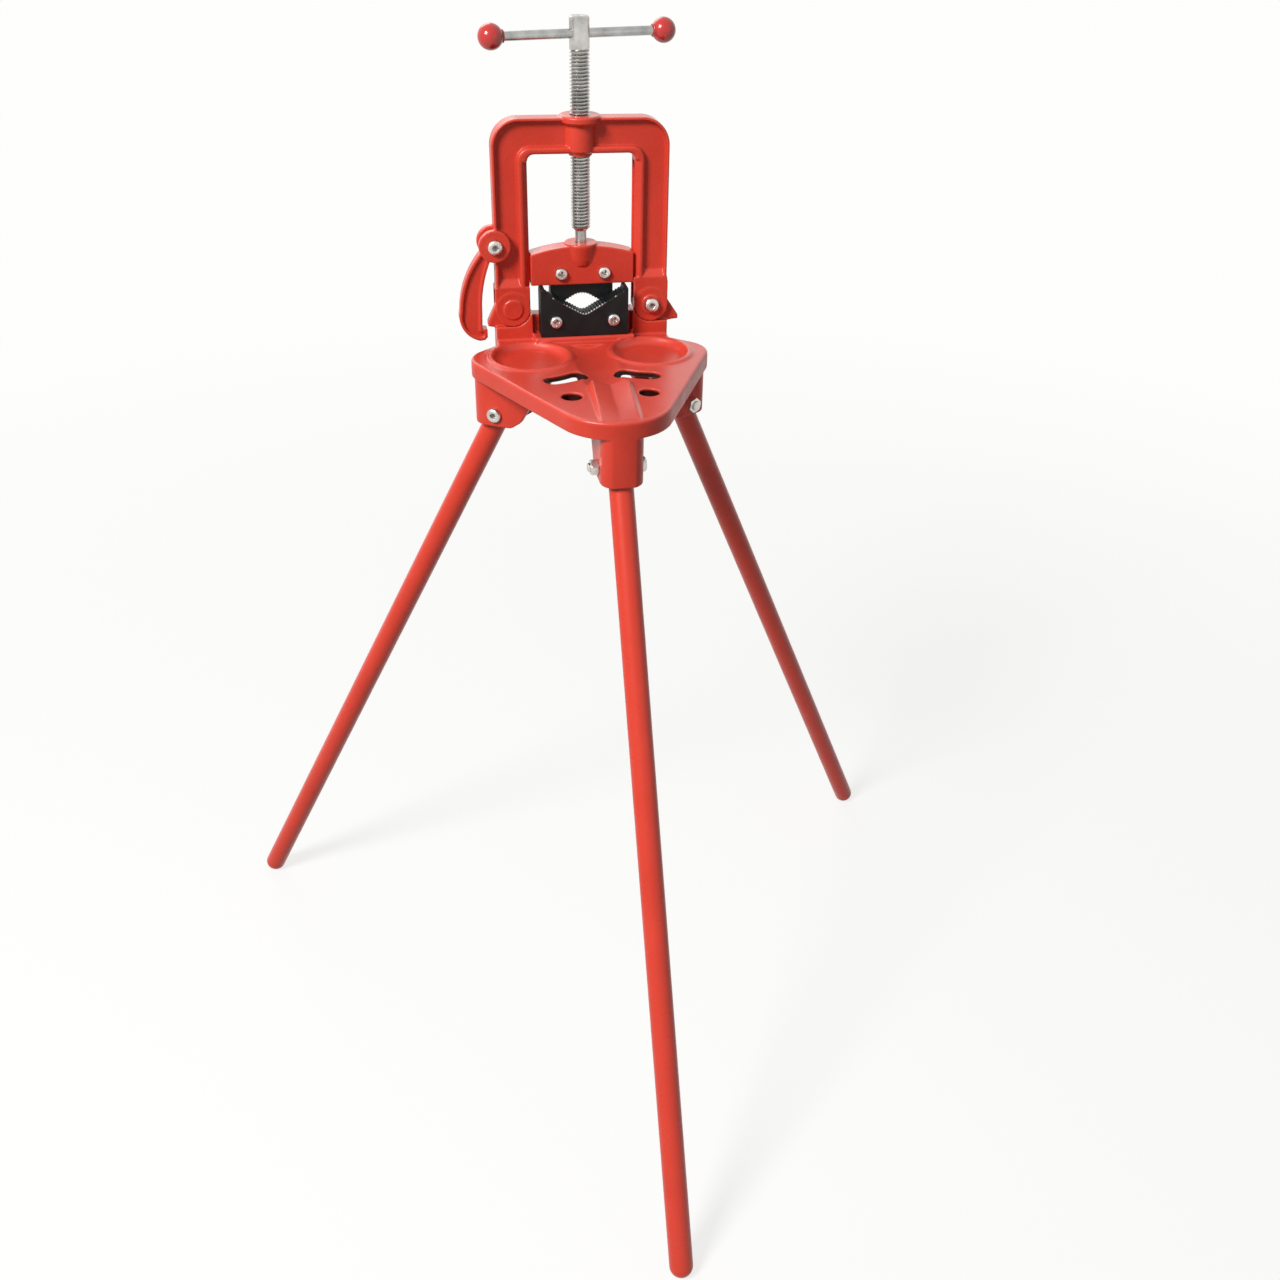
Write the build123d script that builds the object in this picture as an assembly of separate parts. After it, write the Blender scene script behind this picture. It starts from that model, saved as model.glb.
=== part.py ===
from build123d import *
import math
import os

# Yoke pipe vise on a folding tripod stand, in millimetres, Z up.
# Everything is drawn in the head frame: the screw's axis is x = 0, y = 0, and the
# leg pivots lie in z = 0. At the end it all moves to the part's own frame, whose
# origin is on the floor at the middle of the footprint.

# Stand
TRIPOD_Y = -105.0
PIVOT_RADIUS = 98.0
SPLAY = 27.0
TUBE_R = 11.0
TUBE_WALL = 2.0
LEG_REACH = 728.0
LEG_TOP = 15.0
LEG_AZIMUTHS = {"front": -90.0, "left": 150.0, "right": 30.0}

# Tray and sockets
DECK_Z = 49.0
DECK_T = 6.0
SKIRT_H = 16.0
SKIRT_T = 6.0
TRAY_APEX = -294.2
TRAY_CORNER = (118.9, -48.5)
TRAY_REAR = (80.0, -15.2)
FRONT_ROUND = 52.2
CORNER_ROUND = 28.8
SOCKET_OUT = 122.0
SOCKET_W = 38.0
SOCKET_ROUND = 15.0
SOCKET_INNER_ROUND = 6.0
SOCKET_SLOT = 24.0
SOCKET_INNER_FACE = 116.8
SOCKET_FOOT = -12.0
BOWL_X = 57.0
BOWL_Y = -57.0
BOWL_R = 37.5
BOWL_FLOOR_R = 27.0
BOWL_DEPTH = 5.0
RIM_H = 2.2
RIM_HALF = 3.6
SLOT_R = 63.5
SLOT_HALF = 9.2
SLOT_ANGLES = (-123.5, -101.5)
HOLE_X = 34.5
HOLE_Y = -160.0
HOLE_R = 9.2
HOLE_WALL = 4.0
HOLE_FOOT = 36.0
RAMP_REAR = (3.0, -138.0)
RAMP_FRONT = (-2.0, -220.0)
RAMP_HALF = 16.5
RAMP_H = 6.0
SADDLE_R = 45.0
SADDLE_DEPTH = 4.0

# Posts and jaw seat
HINGE_X = 66.5
HINGE_Z = 79.0
POST_IN = 47.8
POST_OUT = 83.0
POST_HALF = 10.0
POST_TOP = 74.0
TANG_HALF = 4.9
TANG_R = 15.6
SEAT_GAP = 0.4
HINGE_LUG_X = 94.6
LATCH_LUG_X = 90.3
LUG_LOW_Z = 61.0
WEB_FRONT = -4.5
WEB_REAR = 10.0
WEB_TOP = 72.0
LEDGE_FRONT = -24.0
LEDGE_Z = 54.5

# Yoke
YOKE_HALF = 9.5
YOKE_X = 81.7
YOKE_TOP = 251.6
YOKE_CORNER = 25.0
WINDOW_X = 49.5
WINDOW_TOP = 220.3
WINDOW_CORNER = 6.0
PAD_R = 16.4
PAD_HALF = 10.1
PAD_TOP = 100.0
FORK_HALF = 5.3
FORK_ROOF = {-1: 96.5, 1: 108.2}
RIM_OUT = 2.8
RIM_IN = 9.5
RIM_LOW = 6.2
RIM_ROUND = 2.8
BEVEL = (5.4, 4.6)
POCKET_FOOT = {-1: 100.0, 1: 105.5}
POCKET_RAMP = 7.0
POCKET_DEPTH = 5.2
PAD_DISC_R = 9.0
PAD_DISC_H = 1.2
GUIDE_HALF = 4.4
GUIDE_DEPTH = 4.0
GUIDE_TOP = 212.5
BOSS_R = 13.8
COLLAR_R = 19.3
COLLAR_Z = (247.6, 253.4)
NOZZLE_R = 11.0
NOZZLE_Z = 218.0

# Latch
LATCH_X = -82.0
LATCH_Z = 139.6
LATCH_EAR_R = 14.8
LATCH_EAR_OUT = 13.0
LATCH_HEAD_R = 11.6
LATCH_HALF = 6.0
LATCH_SLOT_HALF = 6.4
LATCH_RIM = 3.0
LATCH_POCKET = 2.6

# Screw, crosshead and handle
SPINDLE_R = 9.0
NUT_BORE_R = 9.08
HEAD_TOP = 335.0
THREAD_FOOT = 150.0
NECK_R = 5.3
NECK_BORE_R = 5.38
NECK_FOOT = 120.0
PIN_R = 2.5
PIN_Z = 127.0
PIN_FRONT = -6.5
PIN_WALL = 1.0
GROOVE_R = 3.9
PIN_X = GROOVE_R + PIN_R + 0.08
BAR_Z = 320.6
BAR_R = 4.0
BAR_BORE_R = 4.08
BAR_HALF = 78.0
BAR_AZIMUTH = 14.0
KNOB_R = 11.0
KNOB_AT = 82.0
CROSS_X = 48.9
CROSS_HALF = 9.8
CROSS_FOOT = 101.1
CROSS_END_Z = 129.9
CROSS_MID_Z = 137.4
CROSS_BOSS_R = 15.8
CROSS_BOSS_TOP = 139.0
TONGUE_HALF = 4.0
TONGUE_OUT = 53.0
TONGUE_Z = (109.0, 128.0)

# Jaws
JAW_SLOPE = 30.0
LOWER_HALF = 42.0
LOWER_TOP = 100.5
LOWER_FRONT = -22.0
LOWER_APEX = 75.6
LOWER_ROUND = 8.0
LOWER_MOUTH = 37.6
UPPER_HALF = 30.0
UPPER_FRONT = -3.7
UPPER_REAR = 9.3
UPPER_TOP = 115.5
UPPER_APEX = 92.9
UPPER_ROUND = 17.0
UPPER_TIP = 26.0

# Fasteners: M8 button heads with nuts, M6 pan heads
M8_R = 4.0
M8_RUN_R = 4.08
BUTTON_R = 7.0
BUTTON_H = 4.6
HEX_KEY = 5.0
NUT_FLAT = 13.0
NUT_H = 6.8
BOLT_OVER = 2.5
M6_R = 3.0
PAN_R = 6.0
PAN_H = 4.0
UPPER_SCREW = (20.5, 111.6)
LOWER_SCREW = (27.6, 69.6)


def slab(sketch, y_front, y_rear):
    """Extrude a sketch of the x-z plane from y_front back to y_rear."""
    return extrude(Plane.XZ.offset(-y_rear) * sketch, amount=y_rear - y_front)


def rod(radius, y_front, y_rear, x=0.0, z=0.0):
    """A round bar along Y."""
    return slab(Pos(x, z) * Circle(radius), y_front, y_rear)


def block(x0, x1, y0, y1, z0, z1):
    """A box between two corners."""
    middle = Pos((x0 + x1) / 2, (y0 + y1) / 2, (z0 + z1) / 2)
    return middle * Box(x1 - x0, y1 - y0, z1 - z0)


def turned(points):
    """Revolve a closed outline of (radius, height) points about Z."""
    outline = make_face(Polyline(*points, close=True))
    return revolve(Plane.XZ * outline, Axis.Z)


def vee(half, apex, up):
    """Triangle of a jaw's notch: apex at z = apex, opening up (1) or down (-1)."""
    rise = up * half * math.tan(math.radians(JAW_SLOPE))
    return make_face(Polyline((0, apex), (half, apex + rise), (-half, apex + rise), close=True))


def at_leg(azimuth, local):
    """Place a shape drawn with X outward through the pivot plane's centre."""
    return Pos(0, TRIPOD_Y, 0) * Rot(0, 0, azimuth) * local


def button_bolt(grip):
    """M8 screw along +Z: the head above z = 0, the shank down through the grip."""
    shoulder = 3.4
    head = turned([(0, 0), (BUTTON_R, 0), (BUTTON_R, 1.2), (BUTTON_R - 1.4, shoulder),
                   (BUTTON_R - 3.0, BUTTON_H), (0, BUTTON_H)])
    length = grip + NUT_H + BOLT_OVER
    shank = Pos(0, 0, -length / 2) * Cylinder(M8_R, length)
    key = extrude(Pos(0, 0, BUTTON_H - 2.6) * RegularPolygon(HEX_KEY / 2, 6, major_radius=False), amount=4)
    return head + shank - key


def hex_nut(grip):
    """Nut of that screw, below the grip."""
    nut = extrude(RegularPolygon(NUT_FLAT / 2, 6, major_radius=False), amount=NUT_H)
    cone = turned([(0, -1), (NUT_FLAT / 2 + 0.2, -1), (NUT_FLAT / 2 + 1.4, 1.0),
                   (NUT_FLAT / 2 + 1.4, NUT_H + 1), (0, NUT_H + 1)])
    nut = (nut & cone) - Pos(0, 0, NUT_H / 2) * Cylinder(M8_R, NUT_H)
    return Pos(0, 0, -grip - NUT_H) * nut


def pan_screw(x, z, y_face, length):
    """M6 screw whose domed head sits on a face that looks to the front."""
    head = turned([(0, 0), (PAN_R, 0), (PAN_R, 1.4), (PAN_R - 1.2, 3.0), (PAN_R - 3.2, PAN_H), (0, PAN_H)])
    screw = head + Pos(0, 0, -length / 2) * Cylinder(M6_R, length)
    return Pos(x, y_face, z) * Rot(90, 0, 0) * screw


def leg(azimuth):
    """Tube with a domed foot and a cross hole at its pivot."""
    outside = Pos(0, 0, (LEG_TOP - LEG_REACH) / 2) * Cylinder(TUBE_R, LEG_REACH + LEG_TOP)
    outside += Pos(0, 0, -LEG_REACH) * Sphere(TUBE_R)
    bore_r = TUBE_R - TUBE_WALL
    inside = Pos(0, 0, (LEG_TOP - LEG_REACH) / 2) * Cylinder(bore_r, LEG_REACH + LEG_TOP)
    inside += Pos(0, 0, -LEG_REACH) * Sphere(bore_r)
    tube = outside - inside - rod(M8_RUN_R, -2 * TUBE_R, 2 * TUBE_R)
    return at_leg(azimuth, Pos(PIVOT_RADIUS, 0, 0) * Rot(0, -SPLAY, 0) * tube)


def leg_fastener(azimuth, shape):
    """Turn a screw or nut along Z so that it lies across a socket, head to the left."""
    return at_leg(azimuth, Pos(PIVOT_RADIUS, SOCKET_W / 2, 0) * Rot(-90, 0, 0) * shape)


def tray_outline():
    """Tray's outline from above: a rounded point in front and a rounded corner over each rear leg."""
    (x, y), (rear_x, rear_y) = TRAY_CORNER, TRAY_REAR
    shape = make_face(Polyline((0, TRAY_APEX), (x, y), (rear_x, rear_y), (-rear_x, rear_y), (-x, y),
                               close=True))
    by_y = shape.vertices().group_by(Axis.Y)
    corners = by_y[1]
    shape = fillet(by_y[0], FRONT_ROUND)
    corners = [min(shape.vertices(), key=lambda v: (v.center() - c.center()).length) for c in corners]
    return fillet(corners, CORNER_ROUND)


def socket(azimuth):
    """U-shaped channel that holds a leg: two cheeks, and a round outer web flush with the tray."""
    plan = Pos(SOCKET_OUT / 2 + 20) * Rectangle(SOCKET_OUT - 40, SOCKET_W)
    plan = fillet(plan.vertices().group_by(Axis.X)[-1], SOCKET_ROUND)
    plan = at_leg(azimuth, plan) & tray_outline()
    column = extrude(Pos(0, 0, SOCKET_FOOT) * plan, amount=DECK_Z - DECK_T - SOCKET_FOOT)
    side = make_face(Polyline((SOCKET_OUT + 8, DECK_Z), (SOCKET_OUT + 8, SOCKET_FOOT + 9),
                              (SOCKET_OUT - 1, SOCKET_FOOT), (82, SOCKET_FOOT), (72, SOCKET_FOOT + 7),
                              (50, DECK_Z - SKIRT_H), (41, DECK_Z), close=True))
    side = fillet(side.vertices().filter_by_position(Axis.X, 60, 90), 8)
    return column & at_leg(azimuth, slab(side, -SOCKET_W, SOCKET_W))


def socket_slot(azimuth):
    """The space that the leg folds in, with the holes for its screw."""
    slot = block(20, SOCKET_INNER_FACE, -SOCKET_SLOT / 2, SOCKET_SLOT / 2, SOCKET_FOOT - 30, DECK_Z - DECK_T)
    slot = fillet(slot.edges().filter_by(Axis.Z).group_by(Axis.X)[-1], SOCKET_INNER_ROUND)
    return at_leg(azimuth, slot + rod(M8_R, -SOCKET_W, SOCKET_W, x=PIVOT_RADIUS))


def bowl(side):
    """Round dish with a raised bead, and the hollow to cut from it."""
    under = DECK_Z - BOWL_DEPTH - 5
    body = turned([(0, under), (BOWL_FLOOR_R, under), (BOWL_R + RIM_HALF, DECK_Z - DECK_T),
                   (BOWL_R + RIM_HALF, DECK_Z), (0, DECK_Z)])
    bead = make_face(Polyline((BOWL_R - RIM_HALF, DECK_Z), (BOWL_R + RIM_HALF, DECK_Z))
                     + ThreePointArc((BOWL_R + RIM_HALF, DECK_Z), (BOWL_R, DECK_Z + RIM_H),
                                     (BOWL_R - RIM_HALF, DECK_Z)))
    body += revolve(Plane.XZ * bead, Axis.Z)
    floor = DECK_Z - BOWL_DEPTH
    lip = BOWL_R - RIM_HALF
    dish = make_face(Line((0, floor), (BOWL_FLOOR_R - 3, floor))
                     + ThreePointArc((BOWL_FLOOR_R - 3, floor), (BOWL_FLOOR_R + 3.2, floor + 1.6),
                                     (lip, DECK_Z))
                     + Polyline((lip, DECK_Z), (lip, DECK_Z + 0.01), (0, DECK_Z + 0.01), (0, floor)))
    hollow = revolve(Plane.XZ * dish, Axis.Z)
    place = Pos(side * BOWL_X, BOWL_Y, 0)
    return place * body, place * hollow


def tool_slot(side):
    """Curved slot that follows its bowl."""
    start, end = SLOT_ANGLES
    path = CenterArc((0, 0), SLOT_R, start, end - start)
    shape = SlotArc(path, 2 * SLOT_HALF)
    if side < 0:
        shape = mirror(shape, Plane.YZ)
    return extrude(Pos(side * BOWL_X, BOWL_Y, DECK_Z - 3 * DECK_T) * shape, amount=4 * DECK_T)


def ramp():
    """Two low ridges with a valley between them, which fade out towards the front."""
    def section(place, height):
        outer = RAMP_HALF + 3.5
        points = [(-outer, -0.5), (-RAMP_HALF, height), (0, 0.2), (RAMP_HALF, height), (outer, -0.5)]
        return Pos(*place, DECK_Z) * (Plane.XZ * make_face(Polyline(*points, close=True)))
    return loft([section(RAMP_REAR, RAMP_H), section(RAMP_FRONT, 0.6)], ruled=True)


def post(side):
    """Post of the jaw seat: a foot with a round seat, a tang, and a lug that the latch goes under."""
    low = HINGE_Z - PAD_R - SEAT_GAP
    foot = block(POST_IN, POST_OUT, -POST_HALF, POST_HALF, DECK_Z - SKIRT_H, POST_TOP)
    foot -= rod(PAD_R + SEAT_GAP, -2 * POST_HALF, 2 * POST_HALF, x=HINGE_X, z=HINGE_Z)
    foot -= block(HINGE_X, POST_OUT + 1, -POST_HALF - 1, POST_HALF + 1, low, POST_TOP + 1)
    tang = Pos(HINGE_X, HINGE_Z) * Circle(TANG_R)
    tang += Pos(HINGE_X, (DECK_Z + HINGE_Z) / 2) * Rectangle(2 * TANG_R, HINGE_Z - DECK_Z)
    tip = HINGE_LUG_X if side > 0 else LATCH_LUG_X
    lug = make_face(Polyline((HINGE_X, 91), (HINGE_X + 14, 87), (tip, LUG_LOW_Z + 5), (tip, LUG_LOW_Z + 1),
                             (POST_OUT + 2, LUG_LOW_Z), (HINGE_X, LUG_LOW_Z), close=True))
    whole = foot + slab(tang + lug, -TANG_HALF, TANG_HALF)
    return whole if side > 0 else mirror(whole, Plane.YZ)


def base_casting():
    """Tray, leg sockets, posts and jaw seat in one casting."""
    foot = DECK_Z - SKIRT_H
    body = extrude(Pos(0, 0, foot) * tray_outline(), amount=SKIRT_H)
    body = fillet(body.edges().group_by(Axis.Z)[-1], 2.5)
    body -= extrude(Pos(0, 0, foot) * offset(tray_outline(), -SKIRT_T), amount=SKIRT_H - DECK_T)
    rear = block(-POST_OUT, POST_OUT, -40, POST_HALF, foot, DECK_Z)
    rear -= block(-POST_OUT + SKIRT_T, POST_OUT - SKIRT_T, -40, POST_HALF - SKIRT_T, foot, DECK_Z - DECK_T)
    body += rear
    saddle_z = DECK_Z - SADDLE_DEPTH + SADDLE_R
    ramp_y = RAMP_REAR[1]
    body += block(-22, 22, ramp_y, LEDGE_FRONT, DECK_Z - DECK_T - SADDLE_DEPTH, DECK_Z - 1)
    body -= rod(SADDLE_R, ramp_y + 4, LEDGE_FRONT - 6, z=saddle_z)
    for azimuth in LEG_AZIMUTHS.values():
        body += socket(azimuth)
        body += at_leg(azimuth, block(0, 60, -3, 3, foot + 2, DECK_Z - DECK_T))
    for azimuth in LEG_AZIMUTHS.values():
        body -= socket_slot(azimuth)
    for side in (-1, 1):
        dish, hollow = bowl(side)
        body = body + dish - hollow
        body -= tool_slot(side)
        depth = DECK_Z - HOLE_FOOT
        middle = Pos(side * HOLE_X, HOLE_Y, DECK_Z - depth / 2)
        body += middle * Cylinder(HOLE_R + HOLE_WALL, depth)
        body -= middle * Cylinder(HOLE_R, 2 * depth)
        body += post(side)
    body += ramp()
    ledge = block(-POST_IN, POST_IN, LEDGE_FRONT, WEB_REAR, foot + 2, LEDGE_Z)
    body += fillet(ledge.edges().group_by(Axis.Z)[-1].group_by(Axis.Y)[0], 3)
    body += block(-POST_IN - 1, POST_IN + 1, WEB_FRONT, WEB_REAR, LEDGE_Z - 1, WEB_TOP)
    body -= rod(M8_RUN_R, -2 * POST_HALF, 2 * POST_HALF, x=HINGE_X, z=HINGE_Z)
    x, z = LOWER_SCREW
    for side in (-1, 1):
        body -= rod(M6_R, WEB_FRONT, WEB_REAR - 2, x=side * x, z=z)
    return body


def lower_jaw():
    """Toothed block with a wide upright V, open towards the top."""
    shape = make_face(Polyline((-LOWER_HALF, LEDGE_Z), (LOWER_HALF, LEDGE_Z), (LOWER_HALF, LOWER_TOP),
                               (-LOWER_HALF, LOWER_TOP), close=True))
    shape = fillet(shape.vertices().group_by(Axis.Y)[-1], 3)
    shape -= vee(LOWER_HALF, LOWER_APEX, 1) & Rectangle(2 * LOWER_MOUTH, 400)
    shape -= Pos(0, LOWER_TOP + 4) * Rectangle(2 * LOWER_MOUTH, 12)
    valley = shape.vertices().sort_by_distance((0, LOWER_APEX))[0]
    shape = fillet(valley, LOWER_ROUND)
    jaw = slab(shape, LOWER_FRONT, WEB_FRONT)
    x, z = LOWER_SCREW
    for side in (-1, 1):
        jaw -= rod(M6_R, LOWER_FRONT - 1, WEB_FRONT + 1, x=side * x, z=z)
    return jaw


def upper_jaw():
    """Plate with an inverted V, which passes just behind the lower jaw."""
    tip_z = UPPER_APEX - UPPER_TIP * math.tan(math.radians(JAW_SLOPE))
    shape = make_face(Polyline((-UPPER_HALF, tip_z), (UPPER_HALF, tip_z), (UPPER_HALF, UPPER_TOP),
                               (-UPPER_HALF, UPPER_TOP), close=True))
    shape -= vee(UPPER_TIP, UPPER_APEX, -1)
    crown = shape.vertices().sort_by_distance((0, UPPER_APEX))[0]
    shape = fillet(crown, UPPER_ROUND)
    jaw = slab(shape, UPPER_FRONT, UPPER_REAR)
    x, z = UPPER_SCREW
    for side in (-1, 1):
        jaw -= rod(M6_R, UPPER_FRONT - 1, UPPER_REAR - 3, x=side * x, z=z)
    return jaw


def yoke_arch(inset):
    """Outer shape of the yoke above its feet, in the front view, drawn in by an inset."""
    top = YOKE_TOP - inset
    shape = Pos(0, (top + PAD_TOP) / 2) * Rectangle(2 * (YOKE_X - inset), top - PAD_TOP)
    return fillet(shape.vertices().group_by(Axis.Y)[-1], YOKE_CORNER - inset)


def yoke_window(beside, above):
    """The window's shape above the feet, grown at its sides and at its top."""
    top = WINDOW_TOP + above
    shape = Pos(0, (top + PAD_TOP) / 2) * Rectangle(2 * (WINDOW_X + beside), top - PAD_TOP)
    return fillet(shape.vertices().group_by(Axis.Y)[-1], WINDOW_CORNER + above)


def rounded_slab(sketch, radius):
    """Slab of the yoke's depth, with every edge rounded that isn't at its foot."""
    solid = slab(sketch, -YOKE_HALF, YOKE_HALF)
    by_y = solid.edges().group_by(Axis.Y)
    return fillet([edge for edge in by_y[0] + by_y[-1] if edge.center().Z > PAD_TOP + 1], radius)


def yoke_rim():
    """Round bead about the window, with a wide bevel inside each leg at the front."""
    rim = rounded_slab(yoke_window(RIM_IN, RIM_LOW) - yoke_window(0, 0), RIM_ROUND)
    wide, deep = BEVEL
    corner = make_face(Polyline((WINDOW_X, -YOKE_HALF), (WINDOW_X + wide, -YOKE_HALF),
                                (WINDOW_X, -YOKE_HALF + deep), close=True))
    bevel = extrude(Pos(0, 0, PAD_TOP) * corner, amount=WINDOW_TOP - WINDOW_CORNER - PAD_TOP)
    bevel += mirror(bevel, Plane.YZ)
    return rim - bevel


def yoke_foot(side):
    """Pad of one foot, and its slopes up to the sunk web."""
    pad = Pos(side * HINGE_X, HINGE_Z) * Circle(PAD_R)
    pad += Pos(side * HINGE_X, (HINGE_Z + PAD_TOP) / 2) * Rectangle(2 * PAD_R, PAD_TOP - HINGE_Z)
    inner, outer = side * WINDOW_X, side * YOKE_X
    pad += make_face(Polyline((inner, PAD_TOP), (side * (HINGE_X + PAD_R), PAD_TOP), (outer, PAD_TOP + 8),
                              (inner, PAD_TOP + 8), close=True))
    top = POCKET_FOOT[side]
    foot = slab(pad, -YOKE_HALF, YOKE_HALF) & block(-2 * YOKE_X, 2 * YOKE_X, -50, 50, 0, top)
    web_half = YOKE_HALF - POCKET_DEPTH
    slope = make_face(Polyline((-YOKE_HALF, top), (-web_half, top + POCKET_RAMP),
                               (web_half, top + POCKET_RAMP), (YOKE_HALF, top), close=True))
    low, high = sorted((side * (WINDOW_X + RIM_IN - 1), side * (YOKE_X - 1)))
    foot += Pos(low, 0, 0) * extrude(Plane.YZ * slope, amount=high - low)
    for radius, half in ((PAD_R, PAD_HALF), (PAD_DISC_R, PAD_HALF + PAD_DISC_H)):
        foot += rod(radius, -half, half, x=side * HINGE_X, z=HINGE_Z)
    return foot


def yoke_frame():
    """Channel-section yoke with forked feet, a screw boss and two latch ears."""
    web_half = YOKE_HALF - POCKET_DEPTH
    body = slab(yoke_arch(0) - yoke_window(0, 0), -web_half, web_half)
    body += rounded_slab(yoke_arch(0) - yoke_arch(RIM_OUT), 1.2)
    body += yoke_rim() + yoke_foot(-1) + yoke_foot(1)
    body += turned([(0, NOZZLE_Z), (NOZZLE_R, NOZZLE_Z), (NOZZLE_R, WINDOW_TOP), (BOSS_R, WINDOW_TOP + 2),
                    (BOSS_R, COLLAR_Z[0] - 3), (COLLAR_R, COLLAR_Z[0]), (COLLAR_R, COLLAR_Z[1] - 1.5),
                    (COLLAR_R - 1.5, COLLAR_Z[1]), (0, COLLAR_Z[1])])
    body -= Pos(0, 0, YOKE_TOP) * Cylinder(NUT_BORE_R, 120)
    body += rod(LATCH_EAR_R, -LATCH_EAR_OUT, LATCH_EAR_OUT, x=LATCH_X, z=LATCH_Z)
    body -= rod(LATCH_HEAD_R + 0.4, -LATCH_SLOT_HALF, LATCH_SLOT_HALF, x=LATCH_X, z=LATCH_Z)
    body -= block(LATCH_X - 20, -YOKE_X, -LATCH_SLOT_HALF, LATCH_SLOT_HALF, LATCH_Z - 20, LATCH_Z + 20)
    body -= rod(M8_R, -2 * LATCH_EAR_OUT, 2 * LATCH_EAR_OUT, x=LATCH_X, z=LATCH_Z)
    for side, roof in FORK_ROOF.items():
        ends = sorted((0, side * 2 * YOKE_X))
        body -= block(*ends, -FORK_HALF, FORK_HALF, 0, roof)
    guide_x = WINDOW_X + GUIDE_DEPTH
    body -= block(-guide_x, guide_x, -GUIDE_HALF, GUIDE_HALF, 0, GUIDE_TOP)
    body -= rod(M8_R, -2 * PAD_HALF, 2 * PAD_HALF, x=HINGE_X, z=HINGE_Z)
    return body


def hook_outline():
    """Latch hook as it hangs beside the lug, free to swing in under it."""
    outer = ThreePointArc((-95.0, 132.5), (-109.5, 108.5), (-116.3, 78.0))
    heel = ThreePointArc((-116.3, 78.0), (-111.6, 56.5), (-98.0, 48.4))
    toe = Polyline((-98.0, 48.4), (-93.6, 49.2), (-91.2, 51.8), (-91.2, 59.6), (-95.9, 60.2), (-95.4, 76.0))
    inner = ThreePointArc((-95.4, 76.0), (-93.6, 99.0), (-86.3, 124.2))
    neck = Polyline((-86.3, 124.2), (LATCH_X, LATCH_Z), (-95.0, 132.5))
    return make_face(outer + heel + toe + inner + neck)


def latch_hook():
    """Hook with a sunk web and raised rims."""
    arm = hook_outline()
    head = Pos(LATCH_X, LATCH_Z) * Circle(LATCH_HEAD_R)
    body = slab(arm + head, -LATCH_HALF, LATCH_HALF)
    web = offset(arm, -LATCH_RIM, kind=Kind.INTERSECTION) - Pos(LATCH_X, LATCH_Z) * Circle(LATCH_HEAD_R + 1)
    body -= slab(web, -LATCH_HALF, -LATCH_HALF + LATCH_POCKET)
    body -= slab(web, LATCH_HALF - LATCH_POCKET, LATCH_HALF)
    return body - rod(M8_RUN_R, -20, 20, x=LATCH_X, z=LATCH_Z)


def crosshead():
    """Saddle that slides in the yoke, with the screw's socket and the jaw's rebate."""
    shape = make_face(Polyline((CROSS_X, CROSS_END_Z), (CROSS_X, CROSS_FOOT), (-CROSS_X, CROSS_FOOT),
                               (-CROSS_X, CROSS_END_Z))
                      + ThreePointArc((-CROSS_X, CROSS_END_Z), (0, CROSS_MID_Z), (CROSS_X, CROSS_END_Z)))
    body = slab(shape, -CROSS_HALF, CROSS_HALF)
    body += turned([(0, 116.5), (9, 116.8), (11.5, 119), (13.2, 124), (CROSS_BOSS_R, CROSS_BOSS_TOP - 2.5),
                    (CROSS_BOSS_R, CROSS_BOSS_TOP - 1), (CROSS_BOSS_R - 0.8, CROSS_BOSS_TOP),
                    (0, CROSS_BOSS_TOP)])
    for side in (-1, 1):
        ends = sorted((side * (CROSS_X - 1), side * TONGUE_OUT))
        body += block(*ends, -TONGUE_HALF, TONGUE_HALF, *TONGUE_Z)
    body -= block(-UPPER_HALF, UPPER_HALF, UPPER_FRONT, 2 * CROSS_HALF, CROSS_FOOT - 1, UPPER_TOP)
    depth = CROSS_BOSS_TOP - NECK_FOOT
    body -= Pos(0, 0, NECK_FOOT + depth) * Cylinder(NECK_BORE_R, 2 * depth)
    for side in (-1, 1):
        body -= rod(PIN_R, PIN_FRONT, 2 * CROSS_HALF, x=side * PIN_X, z=PIN_Z)
        body -= rod(M6_R, -2 * CROSS_HALF, UPPER_FRONT, x=side * UPPER_SCREW[0], z=UPPER_SCREW[1])
    return body


def spindle():
    """Screw with a plain head and a grooved neck; its thread is drawn as a plain shaft."""
    foot = NECK_FOOT + 0.05
    groove = PIN_R + 0.15
    body = turned([(0, foot), (NECK_R - 1, foot), (NECK_R, foot + 1), (NECK_R, PIN_Z - groove),
                   (GROOVE_R, PIN_Z - groove), (GROOVE_R, PIN_Z + groove), (NECK_R, PIN_Z + groove),
                   (NECK_R, THREAD_FOOT), (SPINDLE_R - 1.5, THREAD_FOOT), (SPINDLE_R, THREAD_FOOT + 1.5),
                   (SPINDLE_R, HEAD_TOP - 1.2), (SPINDLE_R - 1.2, HEAD_TOP), (0, HEAD_TOP)])
    cross = Pos(0, 0, BAR_Z) * Rot(0, 0, BAR_AZIMUTH) * Rot(0, 90, 0) * Cylinder(BAR_BORE_R, 4 * SPINDLE_R)
    return body - cross


def along_bar(shape):
    """Place a shape drawn along Z on the handle bar's line."""
    return Pos(0, 0, BAR_Z) * Rot(0, 0, BAR_AZIMUTH) * Rot(0, 90, 0) * shape


def knob(side):
    """Ball with a flat collar and a blind hole for the bar."""
    ball = Sphere(KNOB_R) + Pos(0, 0, -KNOB_R + 1.0) * Cylinder(5.6, 2.4)
    hole = Pos(0, 0, -KNOB_R) * Cylinder(BAR_R, 2 * (KNOB_R - KNOB_AT + BAR_HALF))
    solid = Pos(0, 0, KNOB_AT) * (ball - hole)
    return along_bar(solid if side > 0 else Rot(180, 0, 0) * solid)


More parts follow.
